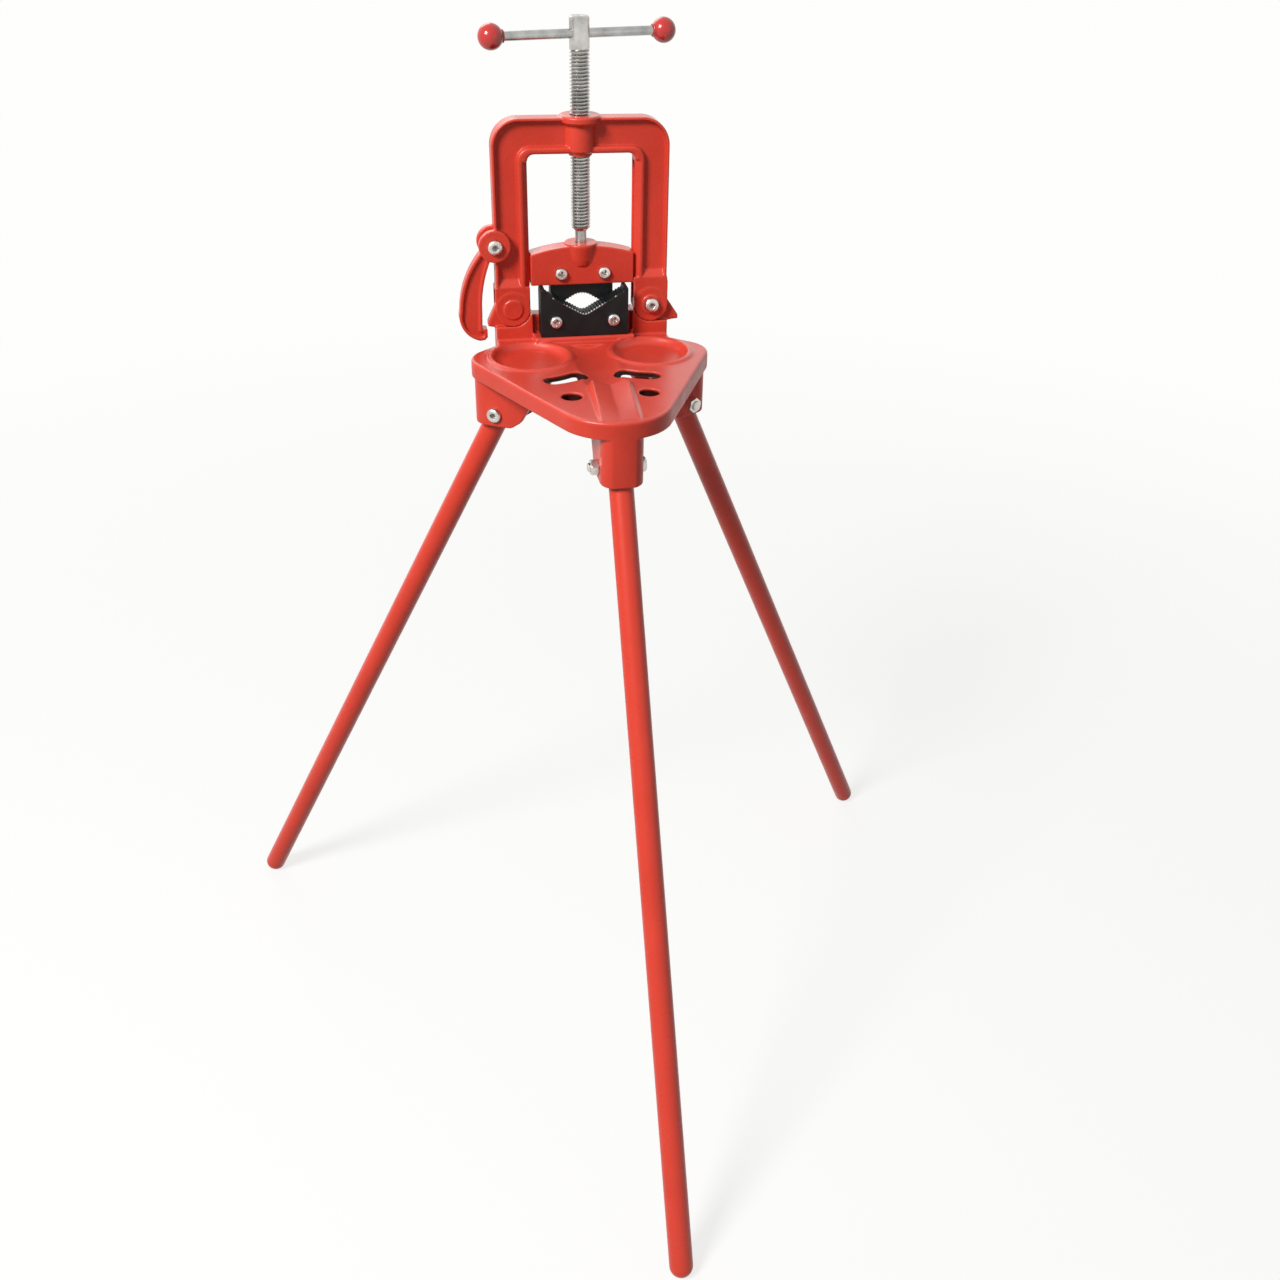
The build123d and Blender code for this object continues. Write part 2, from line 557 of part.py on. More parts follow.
def roll_pins():
    """Two pins that hold the screw's neck in the crosshead."""
    pins = []
    for side in (-1, 1):
        pin = rod(PIN_R, PIN_FRONT, CROSS_HALF) - rod(PIN_R - PIN_WALL, PIN_FRONT, CROSS_HALF)
        pins.append(Pos(side * PIN_X, 0, PIN_Z) * pin)
    return Compound(pins)


def screw_pair(place, y_face, length):
    """The two pan head screws of one jaw."""
    x, z = place
    return Compound([pan_screw(side * x, z, y_face, length) for side in (-1, 1)])


def cross_bolt(x, z, make, half):
    """Make a screw or nut along Y through a joint of a half thickness, with the head at the front."""
    return Pos(x, -half, z) * Rot(90, 0, 0) * make(2 * half)


nodes = {
    "base_casting": base_casting(),
    "lower_jaw": lower_jaw(),
    "lower_jaw_screws": screw_pair(LOWER_SCREW, LOWER_FRONT, WEB_REAR - 3 - LOWER_FRONT),
    "yoke_frame": yoke_frame(),
    "hinge_bolt": cross_bolt(HINGE_X, HINGE_Z, button_bolt, PAD_HALF + PAD_DISC_H),
    "hinge_nut": cross_bolt(HINGE_X, HINGE_Z, hex_nut, PAD_HALF + PAD_DISC_H),
    "latch_hook": latch_hook(),
    "latch_bolt": cross_bolt(LATCH_X, LATCH_Z, button_bolt, LATCH_EAR_OUT),
    "latch_nut": cross_bolt(LATCH_X, LATCH_Z, hex_nut, LATCH_EAR_OUT),
    "crosshead": crosshead(),
    "upper_jaw": upper_jaw(),
    "upper_jaw_screws": screw_pair(UPPER_SCREW, -CROSS_HALF, UPPER_REAR - 4 + CROSS_HALF),
    "spindle_pins": roll_pins(),
    "spindle": spindle(),
    "handle_bar": along_bar(Cylinder(BAR_R, 2 * BAR_HALF)),
    "left_knob": knob(-1),
    "right_knob": knob(1),
}
for name, azimuth in LEG_AZIMUTHS.items():
    nodes[name + "_leg"] = leg(azimuth)
    nodes[name + "_leg_bolt"] = leg_fastener(azimuth, button_bolt(SOCKET_W))
    nodes[name + "_leg_nut"] = leg_fastener(azimuth, hex_nut(SOCKET_W))

# The footprint's middle: half way between the front foot and the two rear feet.
splay = math.radians(SPLAY)
foot_radius = PIVOT_RADIUS + LEG_REACH * math.sin(splay)
pivot_height = LEG_REACH * math.cos(splay) + TUBE_R
footprint_y = TRIPOD_Y - foot_radius / 4

os.makedirs("parts", exist_ok=True)
for name, shape in nodes.items():
    export_step(Pos(0, -footprint_y, pivot_height) * shape, "parts/" + name + ".step")
print("pivot height", round(pivot_height, 3), "screw axis y", round(-footprint_y, 3))
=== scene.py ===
# %% [markdown]
# # A yoke pipe vise on a folding stand
# This lesson dresses a solid model: the solids already have the right size and place,
# and every step here turns one of them into something that looks cast, turned or painted.
# The first step loads the solids. They are in metres, with the floor at z = 0, and
# nothing here moves them.

# %% Load the solids
import math

import bmesh
import bpy
import numpy as np
from mathutils import Matrix, Vector


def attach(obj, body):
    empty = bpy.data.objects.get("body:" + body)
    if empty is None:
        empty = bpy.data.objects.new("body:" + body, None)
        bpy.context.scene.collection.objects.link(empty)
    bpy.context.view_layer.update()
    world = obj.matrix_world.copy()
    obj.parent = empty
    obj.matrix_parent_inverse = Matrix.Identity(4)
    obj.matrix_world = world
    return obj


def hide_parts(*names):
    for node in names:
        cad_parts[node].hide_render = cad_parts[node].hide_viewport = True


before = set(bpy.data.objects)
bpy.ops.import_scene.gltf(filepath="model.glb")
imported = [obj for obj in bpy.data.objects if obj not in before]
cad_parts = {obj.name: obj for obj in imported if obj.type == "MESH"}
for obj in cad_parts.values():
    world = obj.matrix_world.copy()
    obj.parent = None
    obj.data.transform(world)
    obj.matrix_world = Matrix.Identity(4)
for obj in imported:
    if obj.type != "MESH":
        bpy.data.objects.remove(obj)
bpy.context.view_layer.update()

# %% [markdown]
# ## Where things are
# The vise's head is easiest to think of in millimetres from the screw's axis, with the
# leg pivots at height zero. One function takes such points to the part's own frame. The
# other puts a new object in the scene, which Blender doesn't do by itself.

# %% Millimetres of the head to metres of the part
MM = 0.001
SCREW_Y = 212.126
PIVOT_Z = 659.653
HEAD_AT = (0.0, SCREW_Y, PIVOT_Z)


def in_part(points):
    """Add (0, SCREW_Y, PIVOT_Z) to each point, then divide by a thousand."""
    return (np.asarray(points, float) + HEAD_AT) * MM


def linked(name, data):
    """Make an object for a mesh, a lamp or a camera and link it to the scene."""
    thing = bpy.data.objects.new(name, data)
    bpy.context.scene.collection.objects.link(thing)
    return thing


print("screw axis meets the pivot plane at", in_part((0, 0, 0)))

# %% [markdown]
# ## Camera
# The photograph was taken from the left front and a little above the head, close enough
# for the front leg to look much longer than the others. The camera's place, its tilt and
# its small roll are given as plain values, and the picture's centre is shifted a little
# because the photograph was cropped off centre.

# %% Camera
CAMERA_AT = (-207.6, -1290.1, 499.9)
YAW, PITCH, ROLL = 13.95, 31.07, 2.07
FOCAL_PIXELS, FRAME_PIXELS, SENSOR = 1383.6, 1280.0, 36.0
CENTRE_PIXEL = (683.2, 631.1)


def aimed(yaw, pitch, roll):
    """Columns are the camera's right, up and back.

    The camera looks along +Y, dips by pitch, rolls, and then turns by -yaw about Z.
    """
    dip, tip = math.radians(pitch), math.radians(roll)
    forward = np.array([0.0, math.cos(dip), -math.sin(dip)])
    level = np.array([1.0, 0.0, 0.0])
    above = np.cross(level, forward)
    right = level * math.cos(tip) + above * math.sin(tip)
    up = above * math.cos(tip) - level * math.sin(tip)
    turn = Matrix.Rotation(-math.radians(yaw), 3, "Z")
    return turn @ Matrix(np.stack([right, up, -forward], 1).tolist())


eye = bpy.data.cameras.new("photo_camera")
eye.sensor_width = SENSOR
eye.lens = FOCAL_PIXELS / FRAME_PIXELS * SENSOR
eye.shift_x = (FRAME_PIXELS / 2 - CENTRE_PIXEL[0]) / FRAME_PIXELS
eye.shift_y = (CENTRE_PIXEL[1] - FRAME_PIXELS / 2) / FRAME_PIXELS
camera = linked("photo_camera", eye)
camera.matrix_world = Matrix.Translation(in_part(CAMERA_AT)) @ aimed(YAW, PITCH, ROLL).to_4x4()
bpy.context.scene.camera = camera
bpy.context.scene.view_settings.view_transform = "Standard"
print("lens", round(eye.lens, 2), "mm, camera at", [round(v, 3) for v in camera.location])

# %% [markdown]
# ## Small helpers for materials
# Colours are easiest to read as the 0 to 255 values of a picture, so one helper turns
# those into the linear values that shaders want. Others make a node and set its inputs
# in one call, mix two colours, stretch a value or work out one sum, so that each
# material below reads like a recipe. The Mix node has sockets for every kind of data,
# so its colour sockets are picked by number.

# %% Colour and node helpers
MIX_SHARE, MIX_FIRST, MIX_SECOND, MIX_RESULT = 0, 6, 7, 2


def tint(red, green, blue):
    """Picture values to linear light: ((v / 255 + 0.055) / 1.055) ** 2.4, with an alpha of 1."""
    return tuple(((v / 255 + 0.055) / 1.055) ** 2.4 for v in (red, green, blue)) + (1.0,)


def add_node(tree, kind, settings=None, **inputs):
    """Make a node, set its properties, then link or set each named input."""
    node = tree.nodes.new("ShaderNode" + kind)
    for key, value in (settings or {}).items():
        setattr(node, key, value)
    for key, value in inputs.items():
        put(tree, node, int(key[1:]) if key[1:].isdigit() else key.replace("_", " "), value)
    return node


def put(tree, node, key, value):
    """Link a socket to an input, or set the input's own value."""
    if isinstance(value, bpy.types.NodeSocket):
        tree.links.new(value, node.inputs[key])
    else:
        node.inputs[key].default_value = value


def new_material(name):
    """An empty material with a Principled shader, ready for its recipe."""
    material = bpy.data.materials.new(name)
    material.use_nodes = True
    tree = material.node_tree
    tree.nodes.clear()
    shader = tree.nodes.new("ShaderNodeBsdfPrincipled")
    output = tree.nodes.new("ShaderNodeOutputMaterial")
    tree.links.new(shader.outputs["BSDF"], output.inputs["Surface"])
    return material, tree, shader


def mixed(tree, mask, first, second):
    """Colour that goes from first to second with the mask."""
    node = add_node(tree, "Mix", {"data_type": "RGBA"})
    for key, value in ((MIX_SHARE, mask), (MIX_FIRST, first), (MIX_SECOND, second)):
        put(tree, node, key, value)
    return node.outputs[MIX_RESULT]


def ranged(tree, value, low, high):
    """A 0 to 1 value stretched to run from low to high."""
    return add_node(tree, "MapRange", {}, Value=value, To_Min=low, To_Max=high).outputs[0]


def eased(tree, value, span, low, high):
    """A value that glides from low to high while the given one crosses the span."""
    node = add_node(tree, "MapRange", {"interpolation_type": "SMOOTHSTEP"}, Value=value,
                    From_Min=span[0], From_Max=span[1], To_Min=low, To_Max=high)
    return node.outputs[0]


def computed(tree, operation, *values, clamp=False):
    """What a Math node makes of its values, held from 0 to 1 where clamp is on."""
    node = add_node(tree, "Math", {"operation": operation, "use_clamp": clamp})
    for key, value in enumerate(values):
        put(tree, node, key, value)
    return node.outputs[0]


def follow(tree, shader, recipe):
    """Link or set each input of the shader that the recipe names."""
    for key, value in recipe.items():
        put(tree, shader, key, value)


print("orange red of the paint:", [round(v, 3) for v in tint(205, 55, 40)])

# %% [markdown]
# ## Floor, surroundings and light
# The real picture has a bright, nearly white surround and one large soft lamp at the upper
# left, so that every rim throws a short shadow down and to the right, and what faces right
# is dark. For the camera, and in reflections, floor and sky are close to white, while the
# light that they send to the object stays modest. Near the object the floor still shows
# its shadow; further out it glides over into plain white.

# %% Floor, sky and lamps
FLOOR_HALF = 30.0
FLOOR_GLOW = (0.80, 1.0)
GLOW_REACH = (0.5, 2.6)
FLOOR_BOUNCE, FLOOR_SEEN = tint(150, 150, 149), tint(246, 246, 244)
SKY_COLOUR, SKY_LIGHT = tint(254, 254, 252), 0.19
LAMPS = {
    "key": {"at": (-2.1, -1.45, 2.85), "size": 1.0, "watts": 140},
    "fill": {"at": (1.9, -2.3, 1.4), "size": 1.8, "watts": 2},
    "rim": {"at": (-0.6, 2.5, 2.5), "size": 1.6, "watts": 18},
}
LAMP_TARGET = Vector((0.0, 0.15, 0.72))


def seen_or_mirrored(tree):
    """1 for rays from the camera or through gloss or glass, 0 for rays that light things."""
    path = tree.nodes.new("ShaderNodeLightPath").outputs
    seen = computed(tree, "MAXIMUM", path["Is Camera Ray"], path["Is Glossy Ray"])
    return computed(tree, "MAXIMUM", seen, path["Is Transmission Ray"])


world = bpy.data.worlds.new("sky")
world.use_nodes = True
bpy.context.scene.world = world
air = world.node_tree
follow(air, air.nodes["Background"], {
    "Color": SKY_COLOUR,
    "Strength": ranged(air, seen_or_mirrored(air), SKY_LIGHT, 1.0),
})

floor_paint, tree, shader = new_material("studio_floor")
seen = seen_or_mirrored(tree)
follow(tree, shader, {
    "Base Color": mixed(tree, seen, FLOOR_BOUNCE, FLOOR_SEEN),
    "Roughness": 0.9,
    "Specular IOR Level": 0.1,
})
place = add_node(tree, "TexCoord").outputs["Object"]
away = add_node(tree, "VectorMath", {"operation": "LENGTH"}, _0=place).outputs["Value"]
share = computed(tree, "MULTIPLY", seen, eased(tree, away, GLOW_REACH, *FLOOR_GLOW))
glow = add_node(tree, "Emission", {}, Color=SKY_COLOUR, Strength=1.0)
blend = add_node(tree, "MixShader", {}, _0=share, _1=shader.outputs[0], _2=glow.outputs[0])
tree.links.new(blend.outputs[0], tree.nodes["Material Output"].inputs["Surface"])

floor_mesh = bpy.data.meshes.new("studio_floor")
floor_corners = [(x * FLOOR_HALF, y * FLOOR_HALF, 0.0)
                 for x, y in ((-1, -1), (1, -1), (1, 1), (-1, 1))]
floor_mesh.from_pydata(floor_corners, [], [(0, 1, 2, 3)])
floor_mesh.materials.append(floor_paint)
floor = linked("studio_floor", floor_mesh)

for lamp_name, lamp in LAMPS.items():
    light = bpy.data.lights.new(lamp_name, "AREA")
    light.size = lamp["size"]
    light.energy = lamp["watts"]
    holder = linked(lamp_name, light)
    holder.location = lamp["at"]
    towards = LAMP_TARGET - Vector(lamp["at"])
    holder.rotation_euler = towards.to_track_quat("-Z", "Y").to_euler()
print("lamps:", ", ".join(LAMPS))

# %% [markdown]
# ## Effects that several finishes share
# Sand-cast metal is lumpy under its paint, and old paint drifts a little in tone. Edges and
# hollows are found too, for a painted highlight and painted shade. Each effect is a node
# group that puts out a plain value, so that every finish can use it in its own strength.

# %% Shared effects
FINE_RATIO, FINE_SHARE = 3.7, 0.35
NOISE_SPAN = (0.32, 0.68)
FLAT = 0.5


def effect_group(name, inputs, outputs):
    """A node group with the named number inputs and number outputs."""
    group = bpy.data.node_groups.new(name, "ShaderNodeTree")
    for label, value in inputs.items():
        socket = group.interface.new_socket(label, in_out="INPUT", socket_type="NodeSocketFloat")
        socket.default_value = value
    for label in outputs:
        group.interface.new_socket(label, in_out="OUTPUT", socket_type="NodeSocketFloat")
    return group, group.nodes.new("NodeGroupInput"), group.nodes.new("NodeGroupOutput")


def build_cast_lumps():
    """Height = a broad noise + FINE_SHARE of one that is FINE_RATIO times as fine.

    Both have their scale per metre and lie on Object coordinates.
    """
    group, given, result = effect_group("cast_lumps", {"Scale": 300.0}, ["Height"])
    place = add_node(group, "TexCoord").outputs["Object"]
    scale = given.outputs["Scale"]
    finer = computed(group, "MULTIPLY", scale, FINE_RATIO)
    broad = add_node(group, "TexNoise", {}, Vector=place, Scale=scale, Detail=2.0,
                     Roughness=0.5).outputs["Fac"]
    fine = add_node(group, "TexNoise", {}, Vector=place, Scale=finer, Detail=1.0,
                    Roughness=0.4).outputs["Fac"]
    put(group, result, "Height", computed(group, "MULTIPLY_ADD", fine, FINE_SHARE, broad))
    return group


def build_tone_drift():
    """Mask = a slow noise, stretched so that NOISE_SPAN runs from 0 to 1."""
    group, given, result = effect_group("tone_drift", {"Scale": 14.0}, ["Mask"])
    place = add_node(group, "TexCoord").outputs["Object"]
    slow = add_node(group, "TexNoise", {}, Vector=place, Scale=given.outputs["Scale"],
                    Detail=3.0, Roughness=0.55).outputs["Fac"]
    wide = add_node(group, "MapRange", {}, Value=slow, From_Min=NOISE_SPAN[0],
                    From_Max=NOISE_SPAN[1])
    put(group, result, "Mask", wide.outputs[0])
    return group


def build_edges_and_hollows():
    """Edge = (pointiness - FLAT) / Reach and Hollow = (FLAT - pointiness) / Reach.

    Both are held from 0 to 1. Geometry's Pointiness is FLAT where a surface is level,
    more where it is convex and less where it is concave.
    """
    group, given, result = effect_group("edges_and_hollows", {"Reach": 0.06}, ["Edge", "Hollow"])
    bend = add_node(group, "NewGeometry").outputs["Pointiness"]
    for label, sign in (("Edge", 1.0), ("Hollow", -1.0)):
        away = computed(group, "MULTIPLY_ADD", bend, sign, -FLAT * sign)
        held = computed(group, "DIVIDE", away, given.outputs["Reach"], clamp=True)
        put(group, result, label, held)
    return group


EFFECTS = {
    "cast_lumps": build_cast_lumps(),
    "tone_drift": build_tone_drift(),
    "edges_and_hollows": build_edges_and_hollows(),
}


def use_effect(tree, name, **inputs):
    """Place one of the shared effects in a material."""
    node = tree.nodes.new("ShaderNodeGroup")
    node.node_tree = EFFECTS[name]
    for key, value in inputs.items():
        put(tree, node, key, value)
    return node


def bumped(tree, shader, height, distance):
    """Feed a height, worth that distance in metres, to the shader's normal."""
    bump = add_node(tree, "Bump", {}, Height=height, Distance=distance, Strength=1.0)
    put(tree, shader, "Normal", bump.outputs["Normal"])


print("shared effects:", ", ".join(EFFECTS))

# %% [markdown]
# ## Red paint
# The castings and the legs wear one coat of orange-red enamel. It is fairly glossy, so
# that level faces mirror the bright sky and look pink, while upright faces stay deep red.
# On the castings the enamel follows the sand's lumps, its colour is paler on edges as a
# painted highlight, and darker in corners as painted shade. It was sprayed from above, so
# it lies thicker and glossier on level faces. The walls of slots and holes get painted
# shade: a near-black colour and no coat. A picture could carry all that, but masks worked
# out from the shape need none: pointiness finds edges and corners, the surface's own
# direction finds level faces, and a mesh attribute is 1 on those walls. The tubes are smoother.

# %% Enamel for castings and tubes
# The first colour is the painted shade on the walls of slots and holes. The shares set how much
# painted highlight goes on edges and how much painted shade in hollows.
WALL_SHADE_COLOUR = tint(40, 8, 5)
EDGE_HIGHLIGHT_SHARE, HOLLOW_SHADE_SHARE, HOLLOW_SHADE_DARKENING = 0.4, 0.45, 0.5
UPRIGHT_TO_LEVEL = (0.1, 0.9)
MATT_PATCH, GLOSSY_PATCH = 0.07, 0.05


def enamel(name, deep, main, pale, lump_height, roughness, side_gloss):
    """Enamel with a slow drift in tone, painted shade in hollows, a painted highlight on edges
    and the metal's lumps.

    The coat's weight glides from side_gloss on upright faces to 1 on level ones, and the
    walls' painted shade mask is taken away from it.
    """
    material, tree, shader = new_material(name)
    drift = use_effect(tree, "tone_drift", Scale=16.0).outputs["Mask"]
    corners = use_effect(tree, "edges_and_hollows", Reach=0.09).outputs
    # A mesh attribute marks the walls of slots and holes, which get painted shade: a near-black
    # colour and no coat.
    wall_shade = add_node(tree, "Attribute", {"attribute_name": "wall_shade"}).outputs["Fac"]
    # Edges turn pale: a painted highlight. Hollows turn dark: painted shade.
    edge = ranged(tree, corners["Edge"], 0.0, EDGE_HIGHLIGHT_SHARE)
    hollow = ranged(tree, corners["Hollow"], 0.0, HOLLOW_SHADE_SHARE)
    lit = mixed(tree, edge, mixed(tree, drift, deep, main), pale)
    dark = tuple(HOLLOW_SHADE_DARKENING * v for v in deep[:3]) + (1.0,)
    patchy = use_effect(tree, "tone_drift", Scale=55.0).outputs["Mask"]
    direction = add_node(tree, "TexCoord").outputs["Normal"]
    upward = add_node(tree, "SeparateXYZ", {}, Vector=direction).outputs["Z"]
    pooled = eased(tree, upward, UPRIGHT_TO_LEVEL, side_gloss, 1.0)
    follow(tree, shader, {
        "Base Color": mixed(tree, wall_shade, mixed(tree, hollow, lit, dark), WALL_SHADE_COLOUR),
        "Roughness": ranged(tree, patchy, roughness - GLOSSY_PATCH, roughness + MATT_PATCH),
        "IOR": 1.4,
        "Specular IOR Level": 0.3,
        "Coat Weight": computed(tree, "SUBTRACT", pooled, wall_shade, clamp=True),
        "Coat IOR": 1.45,
        "Coat Roughness": 0.3,
    })
    lumps = use_effect(tree, "cast_lumps", Scale=420.0).outputs["Height"]
    bumped(tree, shader, lumps, lump_height)
    return material


# The third colour of each enamel is its painted highlight on edges.
cast_red = enamel("cast_red", tint(198, 56, 39), tint(210, 65, 48), tint(226, 94, 74),
                  lump_height=0.00022, roughness=0.36, side_gloss=0.12)
tube_red = enamel("tube_red", tint(206, 54, 34), tint(214, 60, 40), tint(222, 76, 54),
                  lump_height=0.00002, roughness=0.30, side_gloss=0.2)
print("enamels:", cast_red.name, tube_red.name)

# %% [markdown]
# ## Red plastic balls, bright steel, plated screws and black jaws
# The balls are smooth moulded plastic with a clear highlight. The screw and its bar are
# turned steel with fine rings round their axis. Screws and nuts are plated, so they are
# paler with a faint bloom. The hollows of these metals, such as the thread's roots, get
# painted shade: their colour turns dark there. The jaws are blackened, and the tips of
# their teeth, which rub on pipes, are worn back to bare steel: the mesh carries that as
# an attribute named bare.

# %% Plastic and metals
# The dark colour that the metals' hollows take is painted shade.
METAL_SHADE_COLOUR, METAL_SHADE_SHARE = tint(34, 32, 30), 0.9
DULL_GRAIN, BRIGHT_GRAIN = 0.10, 0.08


def ball_plastic():
    """Glossy red plastic with a faint drift in tone and gloss."""
    material, tree, shader = new_material("ball_plastic")
    drift = use_effect(tree, "tone_drift", Scale=60.0).outputs["Mask"]
    follow(tree, shader, {
        "Base Color": mixed(tree, drift, tint(184, 34, 28), tint(196, 40, 34)),
        "Roughness": ranged(tree, drift, 0.14, 0.22),
        "Coat Weight": 0.3,
        "Coat Roughness": 0.08,
    })
    bumped(tree, shader, use_effect(tree, "cast_lumps", Scale=150.0).outputs["Height"], 0.00003)
    return material


def metal(name, dark, bright, roughness, grain_scale, grain_height, stretch):
    """Metal with painted shade in its hollows; its grain is a noise squeezed along the axes in
    stretch.
    """
    material, tree, shader = new_material(name)
    place = add_node(tree, "TexCoord").outputs["Object"]
    squeezed = add_node(tree, "Mapping", {}, Vector=place, Scale=stretch).outputs["Vector"]
    grain = add_node(tree, "TexNoise", {}, Vector=squeezed, Scale=grain_scale,
                     Detail=3.0).outputs["Fac"]
    drift = use_effect(tree, "tone_drift", Scale=70.0).outputs["Mask"]
    clean = mixed(tree, computed(tree, "MULTIPLY", grain, drift), bright, dark)
    # Hollows are mixed towards a dark colour: painted shade.
    hollow = use_effect(tree, "edges_and_hollows", Reach=0.10).outputs["Hollow"]
    follow(tree, shader, {
        "Base Color": mixed(tree, ranged(tree, hollow, 0.0, METAL_SHADE_SHARE), clean, METAL_SHADE_COLOUR),
        "Roughness": ranged(tree, grain, roughness - BRIGHT_GRAIN, roughness + DULL_GRAIN),
        "Metallic": 1.0,
    })
    bumped(tree, shader, grain, grain_height)
    return material


def blackened_steel():
    """Black oxide with a faint drift; where the mesh's bare attribute is 1 it is worn steel."""
    material, tree, shader = new_material("blackened_steel")
    drift = use_effect(tree, "tone_drift", Scale=90.0).outputs["Mask"]
    oxide = mixed(tree, drift, tint(7, 11, 12), tint(15, 20, 21))
    bare = add_node(tree, "Attribute", {"attribute_name": "bare"}).outputs["Fac"]
    follow(tree, shader, {
        "Base Color": mixed(tree, bare, oxide, tint(205, 205, 200)),
        "Metallic": bare,
        "Specular IOR Level": 0.3,
        "Roughness": ranged(tree, drift, 0.42, 0.55),
    })
    bumped(tree, shader, use_effect(tree, "cast_lumps", Scale=700.0).outputs["Height"], 0.00006)
    return material


ball_red = ball_plastic()
turned_steel = metal("turned_steel", tint(104, 102, 99), tint(205, 203, 199), roughness=0.27,
                     grain_scale=260.0, grain_height=0.00002, stretch=(1, 1, 14))
bar_steel = metal("bar_steel", tint(112, 112, 112), tint(190, 190, 188), roughness=0.24,
                  grain_scale=300.0, grain_height=0.00002, stretch=(9, 9, 1))
plated_steel = metal("plated_steel", tint(140, 138, 134), tint(226, 222, 217), roughness=0.30,
                     grain_scale=500.0, grain_height=0.00003, stretch=(1, 1, 1))
jaw_black = blackened_steel()
print("metals:", turned_steel.name, bar_steel.name, plated_steel.name, jaw_black.name)

# %% [markdown]
# ## From a grid of points to a mesh
# Every new piece is a surface on a grid: rows run along a profile or a path, columns run
# round it. A shell is a pair (points, faces), and a piece may have several shells. When
# the mesh is made, points in the same place are welded, which also closes poles and
# seams, faces are turned outwards, and only real corners are left sharp.

# %% Grids, shells and pieces
WELD = 1e-6


def grid_shell(grid, around=True):
    """Quads that join points (i, j), (i, j + 1), (i + 1, j + 1) and (i + 1, j) of a grid.

    Where around is on, the last column is joined to the first.
    """
    rows, columns = grid.shape[:2]
    index = np.arange(rows * columns).reshape(rows, columns)
    right = np.roll(index, -1, axis=1)
    last = columns if around else columns - 1
    corners = (index[:-1, :last], right[:-1, :last], right[1:, :last], index[1:, :last])
    return grid.reshape(-1, 3), np.stack(corners, -1).reshape(-1, 4).tolist()


def with_caps(shell, *rings):
    """Add one flat face over each ring of point numbers."""
    points, faces = shell
    return points, faces + [list(ring) for ring in rings]


def joined(shells):
    """Put several shells into one list of points and faces."""
    starts = np.cumsum([0] + [len(points) for points, faces in shells])
    points = np.concatenate([points for points, faces in shells])
    faces = [[int(start) + int(v) for v in face]
             for start, shell in zip(starts, shells) for face in shell[1]]
    return points, faces


def finished_mesh(mesh, sharp_degrees):
    """Weld, turn faces outwards, shade smooth and mark corners sharper than the angle."""
    work = bmesh.new()
    work.from_mesh(mesh)
    bmesh.ops.remove_doubles(work, verts=work.verts, dist=WELD)
    bmesh.ops.dissolve_degenerate(work, dist=WELD, edges=work.edges)
    bmesh.ops.recalc_face_normals(work, faces=work.faces)
    work.to_mesh(mesh)
    work.free()
    mesh.polygons.foreach_set("use_smooth", np.ones(len(mesh.polygons), bool))
    mesh.set_sharp_from_angle(angle=math.radians(sharp_degrees))


def new_piece(name, mesh, material, body, stands_for):
    """Link a mesh as a piece: its material, its body and the solid that it replaces."""
    mesh.materials.clear()
    mesh.materials.append(material)
    piece = linked(name, mesh)
    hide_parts(stands_for)
    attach(piece, body)
    print(name, "rides on", body, "with", len(mesh.polygons), "faces")
    return piece


def shell_piece(name, shells, material, body, stands_for, sharp_degrees=38.0):
    """Make a piece from shells whose points are in millimetres of the head's frame."""
    points, faces = joined(shells)
    mesh = bpy.data.meshes.new(name)
    mesh.from_pydata(in_part(points).tolist(), [], faces)
    finished_mesh(mesh, sharp_degrees)
    return new_piece(name, mesh, material, body, stands_for)


print("weld distance", WELD, "m")

# %% [markdown]
# ## Turned surfaces and where they point
# A turned part is a profile of radius and height carried round an axis. Its corners are
# softened first, because no real part has a perfectly sharp corner and a soft one
# catches the light. Some rows are not round: a socket is a hexagon, and a cross recess
# has four arms, so each row may have its own radius at each angle.

# %% Profiles, turned grids and their place
TINY = 1e-9
CORNER_STEPS = 4
MOST_OF_A_SIDE = 0.48
SMALL_ROUND = 0.5


def soften(corners, cut):
    """Replace each inner corner C of a line by (1-s)^2 A + 2s(1-s) C + s^2 B, a parabola.

    A and B lie on the corner's two sides, `cut` away from it.
    """
    c = np.asarray(corners, float)
    cut = np.broadcast_to(np.asarray(cut, float), (len(c),))
    ends = []
    for other in (np.roll(c, 1, axis=0), np.roll(c, -1, axis=0)):
        gap = other - c
        length = np.maximum(np.linalg.norm(gap, axis=1), TINY)
        ends.append(c + gap * np.minimum(cut / length, MOST_OF_A_SIDE)[:, None])
    before, after = ends[0][:, None], ends[1][:, None]
    s = np.linspace(0, 1, CORNER_STEPS)[None, :, None]
    arcs = (1 - s) ** 2 * before + 2 * s * (1 - s) * c[:, None] + s**2 * after
    return np.concatenate([c[:1], arcs[1:-1].reshape(-1, 2), c[-1:]])


def turned_grid(profile, sides):
    """Point (i, j) = (r_i cos a_j, r_i sin a_j, h_i) for a profile of (radius, height) rows."""
    profile = np.asarray(profile, float)
    a = np.linspace(0, 2 * math.pi, sides, endpoint=False)
    r, h = profile[:, 0, None], profile[:, 1, None]
    return np.stack([r * np.cos(a), r * np.sin(a), h + 0 * a], -1)


def arc(radius, start, end, steps, centre=(0.0, 0.0)):
    """Points on a circle between two angles in degrees, as (x, y) rows."""
    a = np.radians(np.linspace(start, end, steps))
    return np.stack([centre[0] + radius * np.cos(a), centre[1] + radius * np.sin(a)], -1)


